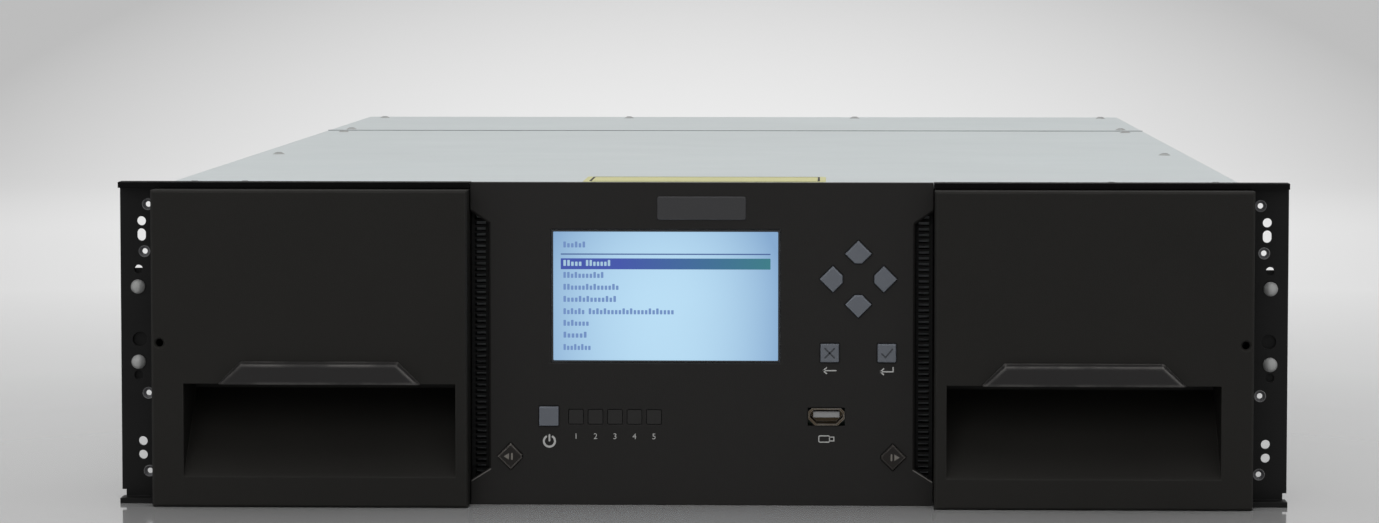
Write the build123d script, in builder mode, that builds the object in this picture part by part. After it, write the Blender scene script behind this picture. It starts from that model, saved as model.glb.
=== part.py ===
from build123d import *
from math import cos, radians, sin
import os

os.makedirs("parts", exist_ok=True)

# A tape library for a 19 inch rack, three rack units high. All lengths are in millimetres.
# X runs to the right, Y to the back, Z up. The base stands on Z = 0, the front face of
# the rack ears lies in Y = 0, and X = 0 is halfway between them.

# Shared clearances
cut_over = 1.0  # overrun of every cut
part_gap = 0.3  # between pieces that lie close but do not touch
running_gap = 0.08  # radial clearance of a shaft in its hole
screw_gap = 0.2  # radial clearance of a screw in its hole

# Chassis
rack_unit_height = 44.45
chassis_width = 446.0
ear_reach = 18.3  # of each rack ear beyond the chassis
rack_hole_inset = 8.75  # from the ear's outer edge
chassis_back = 830.0
chassis_front = 2.0
base_front = -1.8
overall_height = 133.2
lid_drop = 1.4  # of the lids below the top of the front
sheet = 1.2
side_flange = 10.0
lid_seam = 605.0
seam_gap = 0.6
chassis_half = chassis_width / 2
ear_half_span = chassis_half + ear_reach
rack_hole_x = ear_half_span - rack_hole_inset
side_inner = chassis_half - sheet
lid_top = overall_height - lid_drop
lid_bottom = lid_top - sheet

# Vent slots pressed in the base under the drives
base_slot_length = 30.0
base_slot_width = 4.0
base_slot_pitch_x = 44.0
base_slot_pitch_y = 16.0
base_slots_y = 690.0

# Lid screws, placed as shares of half the chassis width and of the chassis length
lid_screw_head_radius = 3.0
lid_screw_head_height = 0.9
lid_screw_radius = 1.5
lid_screw_shares = [
    (-0.952, 0.017), (-0.857, 0.017), (0.759, 0.017), (0.952, 0.017),
    (-0.952, 0.36), (0.952, 0.36), (-0.952, 0.705), (0.952, 0.705),
    (-0.952, 0.753), (0.952, 0.753), (-0.952, 0.976), (0.952, 0.976), (-0.3, 0.976), (0.3, 0.976),
]
lid_tab_length = 12.0
lid_tab_width = 3.0
lid_tab_inset = 4.0
lid_tab_x_shares = [-0.547, 0.77]

# Rack ears
ear_thickness = 2.0
ear_leg_length = 70.0
ear_notch_height = 2.7
ear_notch_depth = 1.7
foot_thickness = 2.2
foot_front = -9.0
flange_inset = 0.5  # of the feet and strips, from the ears' outer edges
flange_half_span = ear_half_span - flange_inset
strip_thickness = 2.4
strip_gap = 0.3  # from the strips down to the ears and the doors
strip_bottom = overall_height - strip_thickness
ear_top = strip_bottom - strip_gap
rack_hole_radius = 1.9
rack_hole_rise = 5.7  # round holes of the pair, above and below the rack's own positions
rack_slot_width = 3.7
rack_slot_height = 5.1
ear_stud_radius = 2.95
ear_stud_height = 2.4
ear_stud_rim = 0.5
ear_stud_shank = 2.0
ear_stud_reach = 5.2  # of the shank, behind the ear's front
ear_stud_z_shares = [0.671, 0.436]  # of the overall height
ear_plate_thickness = 1.5
ear_plate_inset = 3.0  # of the plates behind the ears, from the ears' outer edges
ear_plate_z_shares = [(0.6, 0.7283), (0.372, 0.537)]  # of the overall height
ear_stud_inset = 7.2
ear_stud_x = ear_half_span - ear_stud_inset
ear_countersink_radius = 2.4
ear_screw_hole_radius = 1.15
ear_countersink_angle = 90
# Countersunk holes, as shares of half the ear span and of the overall height
ear_countersunk_shares = [(0.952, 0.928), (0.9585, 0.7815), (0.9535, 0.3387), (0.9525, 0.0945)]
# Plain holes, with the radius as a share of the rack hole's radius. The plates close most.
ear_plain_shares = [(0.969, 0.726, 0.92), (0.9673, 0.507, 1.6), (0.9697, 0.395, 1.0)]

# Magazine doors
door_front = -22.0
door_back = -2.0
door_overlap = 2.5  # beyond the chassis
door_gap = 0.4  # to the centre panel
door_bottom = 0.4
door_top = strip_bottom - strip_gap
door_wall = 2.5
door_edge = 0.8
pocket_inner_margin = 4.9
pocket_outer_margin = 13.1
pocket_bottom = 13.8
pocket_top = 51.1
pocket_depth = 38.0
pocket_lip = 5.0
pocket_bevel = 1.1
hood_top = 60.3
hood_half_width = 41.7
hood_top_half_width = 32.4
hood_proud = 3.4
hood_bevel = 1.2
release_hole_inset = 3.3
release_hole_z = 67.8
release_hole_radius = 1.55
release_hole_edge = 0.8
door_rib = 4.0
door_rib_bottom = 62.0
door_rib_drop = 8.5  # of the ribs' tops below the door's
door_rib_top = door_top - door_rib_drop

# Magazines and their cartridges
magazine_inset = 14.8  # of the magazine's inner side, beyond the centre panel
magazine_side_gap = 4.0  # to the chassis's side
magazine_bottom = 9.6
magazine_wall = 2.0
cell_start = 60.0
cell_columns = 4
cell_divider = 1.6
shelf = 1.4
cartridge_setback = 4.5  # of a cartridge's face behind the mouth of its cell
cartridge_width = 105.4
cartridge_height = 21.5
cartridge_gap = 0.5
cartridge_headroom = 0.7
cartridge_corner = 3.0
label_inset = 4.0
label_recess = 0.5
grip_depth = 2.0
grip_width = 12.0
magazine_outer = chassis_half - magazine_side_gap
cartridge_outer = magazine_outer - magazine_wall - cartridge_gap
cell_pitch = cartridge_width + 2 * cartridge_gap + cell_divider
row_pitch = cartridge_height + shelf + cartridge_headroom
cell_rows = int((lid_bottom - magazine_bottom - shelf) / row_pitch)
magazine_top = magazine_bottom + cell_rows * row_pitch + shelf
magazine_back = cell_start + cell_columns * cell_pitch
guide_back = magazine_back + cell_divider
guide_width = 10.0
guide_inset = 6.0
side_guide_bottom = 64.0
side_guide_height = 14.0

# Display, with the middle of its height as a share of the overall height
screen_left = -62.0
screen_width = 94.4
screen_height = 54.9
screen_z_share = 0.649
screen_recess = 0.5
screen_glass = 1.4
screen_bevel = 0.4
display_border = 4.0
display_body_depth = 4.4
screen_right = screen_left + screen_width
screen_x = screen_left + screen_width / 2
screen_z = screen_z_share * overall_height
screen_bottom = screen_z - screen_height / 2
screen_top = screen_z + screen_height / 2

# Keys, with the heights of their middles as shares of the overall height
key_travel = 1.0
key_gap = 0.25
key_proud = 1.1
key_flange = 1.0
key_flange_depth = 1.0
key_edge = 0.35
key_stem_radius = 1.6
key_half_diagonal = 5.45
nav_gap = 32.1  # from the screen to the middle of the arrow keys
nav_x = screen_right + nav_gap
nav_z_share = 0.703
nav_radius = 10.45
nav_clip = 1.5
square_key_side = 7.6
power_key_side = 8.0
square_key_radius = 0.4
release_key_inset = 9.0  # from the vents
release_key_z_share = 0.151
release_clip = 0.7
command_key_spread = 11.75  # to both sides of the arrow keys' middle
command_key_z_share = 0.4745
power_key_inset = -1.0  # from the screen's left edge
power_key_z_share = 0.276
nav_z = nav_z_share * overall_height
release_key_z = release_key_z_share * overall_height
command_key_z = command_key_z_share * overall_height
power_key_x = screen_left + power_key_inset
power_key_z = power_key_z_share * overall_height

# Status windows and USB port
lens_side = 5.9
lens_gap = 11.2  # from the power key's middle to the first window's
lens_pitch = 8.05
lens_count = 5
lens_z_share = 0.274
lens_recess = 0.15
lens_flange = 1.0
usb_width = 14.9
usb_height = 7.1
usb_inset = 13.05  # of the port's middle, from the arrow keys' middle
usb_z_share = 0.2765
usb_top_corner = 1.4
usb_bottom_corner = 2.7
usb_wall = 0.7
usb_proud = 0.6
tongue_width = 10.9
tongue_height = 2.5
tongue_rise = 0.85  # of its middle above the port's
tongue_recess = 1.0
lens_first_x = power_key_x + lens_gap
lens_z = lens_z_share * overall_height
usb_x = nav_x - usb_inset
usb_z = usb_z_share * overall_height

# Centre panel, as wide as the screen, the keys and the vents need
panel_front = -8.0
panel_back = -2.0
panel_skin = 2.5
panel_rim = 2.0
panel_bottom = 0.1
keypad_margin = 7.4  # from the arrow keys to the vents
vent_width = 7.4
panel_recess_bottom = 15.0
panel_recess_drop = 16.9  # of the recesses' tops below the panel's
panel_recess_slope_bottom = 4.9
panel_recess_slope_top = 5.0
panel_recess_edge = 0.9
panel_recess_half = nav_x + nav_radius + key_half_diagonal + keypad_margin
panel_recess_top = overall_height - panel_recess_drop
panel_half = panel_recess_half + vent_width
release_key_x = panel_recess_half - release_key_inset
magazine_inner = panel_half + magazine_inset
cartridge_inner = magazine_inner + cartridge_setback
door_inner = panel_half + door_gap
door_outer = chassis_half + door_overlap
release_hole_x = door_outer - release_hole_inset
pocket_inner = door_inner + pocket_inner_margin
pocket_outer = door_outer - pocket_outer_margin
pocket_back = door_front + pocket_depth
hood_x = (pocket_inner + pocket_outer) / 2
bulkhead_front = 6.0
bulkhead_flange = 15.0
bulkhead_window_width = 60.0
bulkhead_window_height = 40.0

# Side vents beside the centre panel
vent_frame = 1.5
vent_pitch = 2.4
vent_rib = 0.9
vent_front = -3.0

# Control board
board_front = 2.0
board_thickness = 1.6
board_side_gap = 1.3
board_bottom = 10.0
board_drop = 11.2  # of the board's top below the overall height
board_half = panel_recess_half - panel_rim - board_side_gap
board_top = overall_height - board_drop
standoff_radius = 3.0
standoff_inset = 6.0
switch_side = 6.0
switch_body = 2.0
switch_height = 3.0
switch_play = 0.2

# Robot
aisle_gap = 8.0  # from the rails to the magazines
rail_width = 10.0
rail_top = 4.2
rail_groove = 1.2
carriage_gap = 0.2
carriage_thickness = 2.0
carriage_half_length = 88.0
post_inset = 20.0  # of the lift's posts, from the rails' outer sides
post_y = 74.0
post_radius = 4.0
top_frame_thickness = 1.6
platform_thickness = 2.0
platform_margin = 9.0
bush_radius = 7.0
bush_height = 10.0
turntable_radius = 58.0
turntable_thickness = 2.0
turn_pin_radius = 9.0
picker_wall = 1.6
picker_height = 21.4
picker_length = 122.0
picker_gap = 1.5
picker_beam = 10.0
picker_slot_height = 5.0
picker_slot_bottom = 8.0
gripper_reach = 38.0
gripper_block = 12.0
gripper_finger = 3.0
gripper_finger_length = 84.0
gripper_spread = 34.0
gripper_gap = 0.3
rail_outer = magazine_inner - aisle_gap
rail_inner = rail_outer - rail_width
post_x = rail_outer - post_inset

# Rear bays
bay_front = 545.0
bay_wall = 76.5
bay_bulkhead_y = 505.0
module_bottom = sheet + part_gap
sled_half = 75.0
sled_count = 3
sled_top_gap = 0.7  # over the uppermost sled's space
sled_pitch = (lid_bottom - module_bottom - sled_top_gap) / sled_count
sled_rim = 15.0
sled_face = 1.8
sled_ledge = 3.0
sled_ledge_thickness = 0.8
drive_half = 73.0
drive_headroom = 3.3
drive_height = sled_pitch - drive_headroom
sled_height = sheet + drive_height + part_gap
drive_depth = 205.0
drive_setback = 3.0
drive_wall = 1.2
mouth_half = 53.6
mouth_height = 23.0
mouth_share = 0.52  # height of the mouth's centre in the drive
thumbscrew_radius = 4.0
thumbscrew_length = 8.0
thumbscrew_neck_radius = 2.6
thumbscrew_neck_length = 2.2
thumbscrew_slot = 1.0
thumbscrew_inset = 7.0
tab_width = 24.0
tab_length = 14.0
tab_height = 1.6
port_slot_length = 18.0
port_slot_height = 6.0
face_vent_radius = 1.5
face_vent_pitch = 4.6
supply_inner = 95.0
supply_side_gap = 10.0  # to the chassis's side
supply_outer = chassis_half - supply_side_gap
supply_front = 600.0
supply_wall = 1.2
supply_count = 2
supply_top_gap = 2.3  # over the upper supply's space
supply_headroom = 3.4
supply_pitch = (lid_bottom - module_bottom - supply_top_gap) / supply_count
supply_height = supply_pitch - supply_headroom
fan_x_share = 0.2966  # of the supply's width, from its inner side
fan_x = supply_inner + fan_x_share * (supply_outer - supply_inner)
fan_radius = 19.0
fan_duct_radius = 20.0
fan_duct_depth = 24.0
fan_thickness = 10.0
fan_hub_radius = 8.0
fan_blades = 7
fan_blade_thickness = 1.2
fan_pitch_angle = 35
fan_pin_radius = 1.5
grille_ring = 1.2
grille_depth = 1.6
grille_ring_shares = [0.8, 0.58]  # largest first, of the duct's radius
inlet_x_share = 0.7627  # of the supply's width, from its inner side
inlet_x = supply_inner + inlet_x_share * (supply_outer - supply_inner)
inlet_width = 24.4
inlet_height = 16.6
inlet_depth = 17.0
inlet_wall = 1.5
inlet_flange = 2.4
inlet_corner = 4.0
inlet_proud = 1.8
blade_width = 2.0
blade_height = 5.0
blade_pitch = 7.0
blade_rise = 2.0
blade_recess = 5.0
controller_front = 640.0
controller_headroom = 7.1
controller_height = lid_bottom - module_bottom - controller_headroom
controller_board_rise = 6.0
port_width = 11.8
port_height = 8.6
port_depth = 12.0
port_wall = 0.8
port_pitch = 18.0
port_count = 2
port_z = 60.0


def facing(y):
    """The plane at depth y, drawn as seen from the front. It extrudes towards the front."""
    return Plane.XZ.offset(-y)


def block(x, y, z, mode=Mode.ADD):
    """A box between two values of x, two of y and two of z, in the part being built."""
    spans = [sorted(span) for span in (x, y, z)]
    with Locations(tuple((low + high) / 2 for low, high in spans)):
        Box(*(high - low for low, high in spans), mode=mode)


def rod(centre, radius, y_front, y_back, mode=Mode.ADD):
    """A round bar along Y, through a centre given in x and z."""
    x, z = centre
    with Locations(Location((x, (y_front + y_back) / 2, z), (90, 0, 0))):
        Cylinder(radius, y_back - y_front, mode=mode)


def post(centre, radius, z_low, z_high, mode=Mode.ADD):
    """A round bar along Z, through a centre given in x and y."""
    x, y = centre
    with Locations((x, y, (z_low + z_high) / 2)):
        Cylinder(radius, z_high - z_low, mode=mode)


def other_side(part):
    """The same piece on the left of the chassis."""
    return mirror(part, about=Plane.YZ)


def save(part, name):
    """Write one piece under its node's name."""
    part.label = name
    export_step(part, f"parts/{name}.step")


# Base pan
with BuildPart() as base_pan:
    block((-side_inner, side_inner), (base_front, chassis_back - sheet), (0, sheet))
    with BuildSketch():
        with Locations((0, base_slots_y)):
            with GridLocations(base_slot_pitch_x, base_slot_pitch_y, 3, 5):
                SlotOverall(base_slot_length, base_slot_width)
    extrude(amount=sheet, mode=Mode.SUBTRACT)
save(base_pan.part, "base_pan")

# Side panels, folded inwards at the top to carry the lids
with BuildPart() as right_side_panel:
    block((side_inner, chassis_half), (chassis_front, chassis_back), (0, lid_bottom))
    block(
        (side_inner - side_flange, chassis_half),
        (chassis_front, chassis_back - sheet),
        (lid_bottom - sheet, lid_bottom),
    )
save(right_side_panel.part, "right_side_panel")
save(other_side(right_side_panel.part), "left_side_panel")

# Lids, which meet at a seam, with their screws. The front lid reaches the centre panel.
lid_screws = [(x * chassis_half, y * chassis_back) for x, y in lid_screw_shares]


def make_lid(y_front, y_back):
    """One flat lid with the screw holes that fall on it and the tab slots by its seam."""
    with BuildPart() as lid:
        block((-chassis_half, chassis_half), (y_front, y_back), (lid_bottom, lid_top))
        for x, y in lid_screws:
            if y_front < y < y_back:
                post((x, y), lid_screw_radius + screw_gap, lid_bottom, lid_top, Mode.SUBTRACT)
        if y_back < chassis_back:
            for x_share in lid_tab_x_shares:
                x = x_share * chassis_half
                y = y_back - lid_tab_inset
                block(
                    (x - lid_tab_length / 2, x + lid_tab_length / 2),
                    (y - lid_tab_width / 2, y + lid_tab_width / 2),
                    (lid_bottom, lid_top),
                    Mode.SUBTRACT,
                )
    return lid.part


with BuildPart() as front_cover:
    add(make_lid(chassis_front, lid_seam - seam_gap / 2))
    block(
        (-panel_half + part_gap, panel_half - part_gap),
        (panel_back + part_gap, chassis_front + cut_over),
        (lid_bottom, lid_top),
    )
save(front_cover.part, "front_cover")
save(make_lid(lid_seam + seam_gap / 2, chassis_back), "rear_cover")

def make_stud_head():
    """The domed head of an ear screw, around the Y axis, on a face in Y = 0."""
    dome = ear_stud_height - ear_stud_rim
    round_radius = (ear_stud_radius**2 + dome**2) / (2 * dome)
    with BuildPart() as head:
        with Locations((0, round_radius - ear_stud_height, 0)):
            Sphere(round_radius)
        rod((0, 0), ear_stud_radius, -ear_stud_height, 0, Mode.INTERSECT)
    return head.part


# Fasteners: lid screws with sloped heads, and the silver screws of the ears
stud_head = make_stud_head()
with BuildPart() as fasteners:
    for x, y in lid_screws:
        post((x, y), lid_screw_radius, lid_bottom, lid_top)
        with Locations((x, y, lid_top + lid_screw_head_height / 2)):
            Cone(lid_screw_head_radius, lid_screw_head_radius / 2, lid_screw_head_height)
    for side in (-1, 1):
        for z_share in ear_stud_z_shares:
            centre = (side * ear_stud_x, z_share * overall_height)
            rod(centre, ear_stud_shank, 0, ear_stud_reach)
            with Locations((centre[0], 0, centre[1])):
                add(stud_head)
save(fasteners.part, "fasteners")

# Rack ears: an angle with a foot, and two plates behind that hold the silver screws.
# Round holes stand by the rack's own holes.
lower_hole_z = rack_unit_height / 2
upper_hole_z = overall_height - lower_hole_z
with BuildPart() as right_ear:
    block((chassis_half, ear_half_span), (0, ear_thickness), (foot_thickness, ear_top))
    block(
        (chassis_half, chassis_half + ear_thickness),
        (0, ear_leg_length),
        (0, ear_top),
    )
    block((chassis_half, flange_half_span), (0, ear_thickness), (0, foot_thickness))
    block((door_outer + part_gap, flange_half_span), (foot_front, 0), (0, foot_thickness))
    block(
        (ear_half_span - ear_notch_depth, ear_half_span + cut_over),
        (-cut_over, ear_thickness + cut_over),
        (foot_thickness, foot_thickness + ear_notch_height),
        Mode.SUBTRACT,
    )
    for z in (upper_hole_z + rack_hole_rise, lower_hole_z + rack_hole_rise / 2,
              lower_hole_z - rack_hole_rise / 2):
        rod((rack_hole_x, z), rack_hole_radius, -cut_over, ear_thickness + cut_over, Mode.SUBTRACT)
    with BuildSketch(facing(ear_thickness)):
        with Locations((rack_hole_x, upper_hole_z)):
            SlotOverall(rack_slot_height, rack_slot_width, rotation=90)
    extrude(amount=ear_thickness, mode=Mode.SUBTRACT)
    for x_share, z_share in ear_countersunk_shares:
        place = facing(0) * Location((x_share * ear_half_span, z_share * overall_height, 0))
        with Locations(place):
            CounterSinkHole(
                ear_screw_hole_radius,
                ear_countersink_radius,
                depth=ear_thickness,
                counter_sink_angle=ear_countersink_angle,
            )
    for x_share, z_share, radius_share in ear_plain_shares:
        centre = (x_share * ear_half_span, z_share * overall_height)
        radius = radius_share * rack_hole_radius
        rod(centre, radius, -cut_over, ear_thickness + cut_over, Mode.SUBTRACT)
    plate_back = ear_thickness + ear_plate_thickness
    for low_share, high_share in ear_plate_z_shares:
        block(
            (chassis_half + ear_thickness, ear_half_span - ear_plate_inset),
            (ear_thickness, plate_back),
            (low_share * overall_height, high_share * overall_height),
        )
    for z_share in ear_stud_z_shares:
        centre = (ear_stud_x, z_share * overall_height)
        rod(centre, ear_stud_shank, -cut_over, plate_back + cut_over, Mode.SUBTRACT)
save(right_ear.part, "right_rack_ear")
save(other_side(right_ear.part), "left_rack_ear")

# Black strips over the doors
with BuildPart() as top_strips:
    for side in (-1, 1):
        block(
            (side * (panel_half + part_gap), side * flange_half_span),
            (foot_front, chassis_front - part_gap),
            (strip_bottom, overall_height),
        )
save(top_strips.part, "top_strips")

# Magazine door with its scooped handle pocket
pocket_floor = [
    (door_front - cut_over, pocket_bottom - pocket_bevel),
    (door_front, pocket_bottom - pocket_bevel),
    (door_front + pocket_bevel, pocket_bottom),
    (pocket_back, pocket_top - pocket_lip),
    (pocket_back, pocket_top),
    (door_front - cut_over, pocket_top),
]
with BuildPart() as right_door:
    block((door_inner, door_outer), (door_front, door_back), (door_bottom, door_top))
    chamfer(right_door.faces().sort_by(Axis.Y)[0].edges(), length=door_edge)
    block(
        (door_inner + door_wall, door_outer - door_wall),
        (door_front + door_wall, door_back + cut_over),
        (door_bottom + door_wall, door_top - door_wall),
        Mode.SUBTRACT,
    )
    with BuildSketch(Plane.YZ.offset(pocket_inner - door_wall)):
        Polygon(
            (door_front + door_wall / 2, pocket_bottom - door_wall),
            (door_front + 2 * door_wall, pocket_bottom - door_wall),
            (pocket_back + door_wall, pocket_top - pocket_lip - door_wall),
            (pocket_back + door_wall, pocket_top + door_wall),
            (door_front + door_wall / 2, pocket_top + door_wall),
            align=None,
        )
    extrude(amount=pocket_outer - pocket_inner + 2 * door_wall)
    with BuildSketch(Plane.YZ.offset(pocket_inner)):
        Polygon(*pocket_floor, align=None)
    extrude(amount=pocket_outer - pocket_inner, mode=Mode.SUBTRACT)
    for x in (magazine_inner + magazine_wall / 2, magazine_outer - magazine_wall / 2):
        block(
            (x - door_rib / 2, x + door_rib / 2),
            (door_front + door_wall / 2, door_back),
            (door_rib_bottom, door_rib_top),
        )
    rod(
        (release_hole_x, release_hole_z),
        release_hole_radius,
        door_front - cut_over,
        door_back + cut_over,
        Mode.SUBTRACT,
    )
    hole_edge_y = door_front + release_hole_edge / 2
    with Locations(Location((release_hole_x, hole_edge_y, release_hole_z), (90, 0, 0))):
        Cone(
            release_hole_radius,
            release_hole_radius + release_hole_edge,
            release_hole_edge,
            mode=Mode.SUBTRACT,
        )
save(right_door.part, "right_magazine_door")
save(other_side(right_door.part), "left_magazine_door")

# Raised hood over the pocket, which the fingers pull on
with BuildPart() as right_hood:
    for y, bevel in ((door_front, 0), (door_front - hood_proud, hood_bevel)):
        with BuildSketch(facing(y)):
            Polygon(
                (hood_x - hood_half_width + bevel, pocket_top),
                (hood_x + hood_half_width - bevel, pocket_top),
                (hood_x + hood_top_half_width - bevel / 2, hood_top - bevel),
                (hood_x - hood_top_half_width + bevel / 2, hood_top - bevel),
                align=None,
            )
    loft()
save(right_hood.part, "right_handle_hood")
save(other_side(right_hood.part), "left_handle_hood")

# Magazine: a frame of cells open towards the aisle, with arms that carry the door
cells = [
    (cell_start + column * cell_pitch, magazine_bottom + shelf + row * row_pitch)
    for column in range(cell_columns)
    for row in range(cell_rows)
]
with BuildPart() as right_magazine:
    block(
        (magazine_inner, magazine_outer),
        (cell_start - cell_divider, magazine_back),
        (magazine_bottom, magazine_top),
    )
    for y, z in cells:
        block(
            (magazine_inner - cut_over, magazine_outer - magazine_wall),
            (y, y + cell_pitch - cell_divider),
            (z, z + row_pitch - shelf),
            Mode.SUBTRACT,
        )
    block(
        (magazine_outer - magazine_wall, magazine_outer),
        (door_back, cell_start),
        (magazine_bottom, magazine_top),
    )
    block(
        (magazine_inner, magazine_inner + magazine_wall),
        (door_back, cell_start),
        (door_rib_bottom, magazine_top),
    )
save(right_magazine.part, "right_magazine_frame")
save(other_side(right_magazine.part), "left_magazine_frame")

# Cartridges, one in each cell, with a label recess and two grip notches
def make_cartridge():
    """One cartridge in the first cell, at the cell's floor."""
    y_low = cell_start + cartridge_gap
    y_high = y_low + cartridge_width
    z_low = magazine_bottom + shelf
    z_high = z_low + cartridge_height
    with BuildPart() as cartridge:
        block((cartridge_inner, cartridge_outer), (y_low, y_high), (z_low, z_high))
        chamfer(cartridge.edges().filter_by(Axis.Z).sort_by(Axis.X)[:2], length=cartridge_corner)
        block(
            (cartridge_inner, cartridge_inner + label_recess),
            (y_low + grip_width, y_high - grip_width),
            (z_low + label_inset, z_high - label_inset),
            Mode.SUBTRACT,
        )
        for y, y_end in ((y_low, y_low + label_inset), (y_high - label_inset, y_high)):
            block(
                (cartridge_inner + grip_width, cartridge_inner + 2 * grip_width),
                (y, y_end),
                (z_high - grip_depth, z_high),
                Mode.SUBTRACT,
            )
    return cartridge.part


first_cartridge = make_cartridge()
first_y, first_z = cells[0]
with BuildPart() as right_cartridges:
    with Locations(*((0, y - first_y, z - first_z) for y, z in cells)):
        add(first_cartridge)
save(right_cartridges.part, "right_cartridges")
save(other_side(right_cartridges.part), "left_cartridges")

# Guides under and beside the magazines
with BuildPart() as magazine_guides:
    guide_top = magazine_bottom - part_gap
    for side in (-1, 1):
        for x in (magazine_inner + guide_inset, magazine_outer - guide_inset - guide_width):
            block(
                (side * x, side * (x + guide_width)),
                (chassis_front, guide_back),
                (sheet, guide_top),
            )
        block(
            (side * (magazine_outer + part_gap), side * side_inner),
            (chassis_front, guide_back),
            (side_guide_bottom, side_guide_bottom + side_guide_height),
        )
save(magazine_guides.part, "magazine_guides")

# Bulkhead behind the centre panel
with BuildPart() as bulkhead:
    block((-panel_half, panel_half), (bulkhead_front, bulkhead_front + sheet), (sheet, lid_bottom))
    for side in (-1, 1):
        block(
            (side * panel_half, side * (panel_half - sheet)),
            (bulkhead_front, bulkhead_front + bulkhead_flange),
            (sheet, lid_bottom),
        )
    block(
        (screen_x - bulkhead_window_width / 2, screen_x + bulkhead_window_width / 2),
        (bulkhead_front - cut_over, bulkhead_front + sheet + cut_over),
        (screen_z - bulkhead_window_height / 2, screen_z + bulkhead_window_height / 2),
        Mode.SUBTRACT,
    )
save(bulkhead.part, "front_bulkhead")


def square_outline(x, z, side):
    """Outline of a square key or window with small round corners."""
    with BuildSketch() as outline:
        with Locations((x, z)):
            RectangleRounded(side, side, square_key_radius)
    return outline.sketch


def diamond_outline(x, z, inward, clip):
    """Outline of a square key that stands on its point. The corner that points along the
    inward angle is cut off, by clip."""
    reach = key_half_diagonal
    corners = [(reach - clip, clip), (0, reach), (-reach, 0), (0, -reach), (reach - clip, -clip)]
    turned = [
        (
            x + u * cos(radians(inward)) - v * sin(radians(inward)),
            z + u * sin(radians(inward)) + v * cos(radians(inward)),
        )
        for u, v in corners
    ]
    with BuildSketch() as outline:
        Polygon(*turned, align=None)
    return outline.sketch


# Every key, with its centre and its outline
keys = {
    name: (
        (nav_x + nav_radius * cos(radians(angle)), nav_z + nav_radius * sin(radians(angle))),
        diamond_outline(
            nav_x + nav_radius * cos(radians(angle)),
            nav_z + nav_radius * sin(radians(angle)),
            angle + 180,
            nav_clip,
        ),
    )
    for name, angle in (("right_key", 0), ("up_key", 90), ("left_key", 180), ("down_key", 270))
}
for name, x, z, side in (
    ("back_key", nav_x - command_key_spread, command_key_z, square_key_side),
    ("enter_key", nav_x + command_key_spread, command_key_z, square_key_side),
    ("power_key", power_key_x, power_key_z, power_key_side),
):
    keys[name] = ((x, z), square_outline(x, z, side))
for name, side, inward in (("left_release_key", -1, 0), ("right_release_key", 1, 180)):
    x = side * release_key_x
    keys[name] = ((x, release_key_z), diamond_outline(x, release_key_z, inward, release_clip))
lens_centres = [(lens_first_x + step * lens_pitch, lens_z) for step in range(lens_count)]


def usb_outline(inset):
    """Outline of the USB shell: a rectangle with its corners cut off, more at the bottom."""
    with BuildSketch() as outline:
        with Locations((usb_x, usb_z)):
            Rectangle(usb_width - 2 * inset, usb_height - 2 * inset)
        chamfer(outline.vertices().group_by(Axis.Y)[0], length=usb_bottom_corner)
        chamfer(outline.vertices().group_by(Axis.Y)[-1], length=usb_top_corner)
    return outline.sketch


# Centre panel: a skin with a rim, drawn in at both sides to leave room for the vents
with BuildPart() as centre_panel:
    with BuildSketch(facing(panel_back)) as panel_outline:
        Polygon(
            (-panel_half, panel_bottom),
            (panel_half, panel_bottom),
            (panel_half, panel_recess_bottom - panel_recess_slope_bottom),
            (panel_recess_half, panel_recess_bottom),
            (panel_recess_half, panel_recess_top),
            (panel_half, panel_recess_top + panel_recess_slope_top),
            (panel_half, overall_height),
            (-panel_half, overall_height),
            (-panel_half, panel_recess_top + panel_recess_slope_top),
            (-panel_recess_half, panel_recess_top),
            (-panel_recess_half, panel_recess_bottom),
            (-panel_half, panel_recess_bottom - panel_recess_slope_bottom),
            align=None,
        )
    extrude(amount=panel_back - panel_front)
    recess_edges = [
        edge
        for edge in centre_panel.faces().sort_by(Axis.Y)[0].edges()
        if panel_recess_bottom - panel_recess_slope_bottom
        < edge.center().Z
        < panel_recess_top + panel_recess_slope_top
        and abs(edge.center().X) < panel_half - cut_over
    ]
    chamfer(recess_edges, length=panel_recess_edge)
    with BuildSketch(facing(panel_back)):
        add(panel_outline.sketch_local)
        offset(amount=-panel_rim, kind=Kind.INTERSECTION)
    extrude(amount=panel_back - panel_front - panel_skin, mode=Mode.SUBTRACT)
    with BuildSketch(facing(panel_back)):
        for centre, outline in keys.values():
            add(outline)
        for x, z in lens_centres:
            add(square_outline(x, z, lens_side))
        offset(amount=key_gap, kind=Kind.INTERSECTION)
        with Locations((usb_x, usb_z)):
            Rectangle(usb_width + 2 * screw_gap, usb_height + 2 * screw_gap)
        with Locations((screen_x, screen_z)):
            Rectangle(screen_width, screen_height)
    extrude(amount=panel_back - panel_front + cut_over, mode=Mode.SUBTRACT)
    for y, bevel in ((panel_front, screen_bevel), (panel_front + screen_bevel, 0)):
        with BuildSketch(facing(y)):
            with Locations((screen_x, screen_z)):
                Rectangle(screen_width + 2 * bevel, screen_height + 2 * bevel)
    loft(mode=Mode.SUBTRACT)
save(centre_panel.part, "centre_panel")

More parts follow.
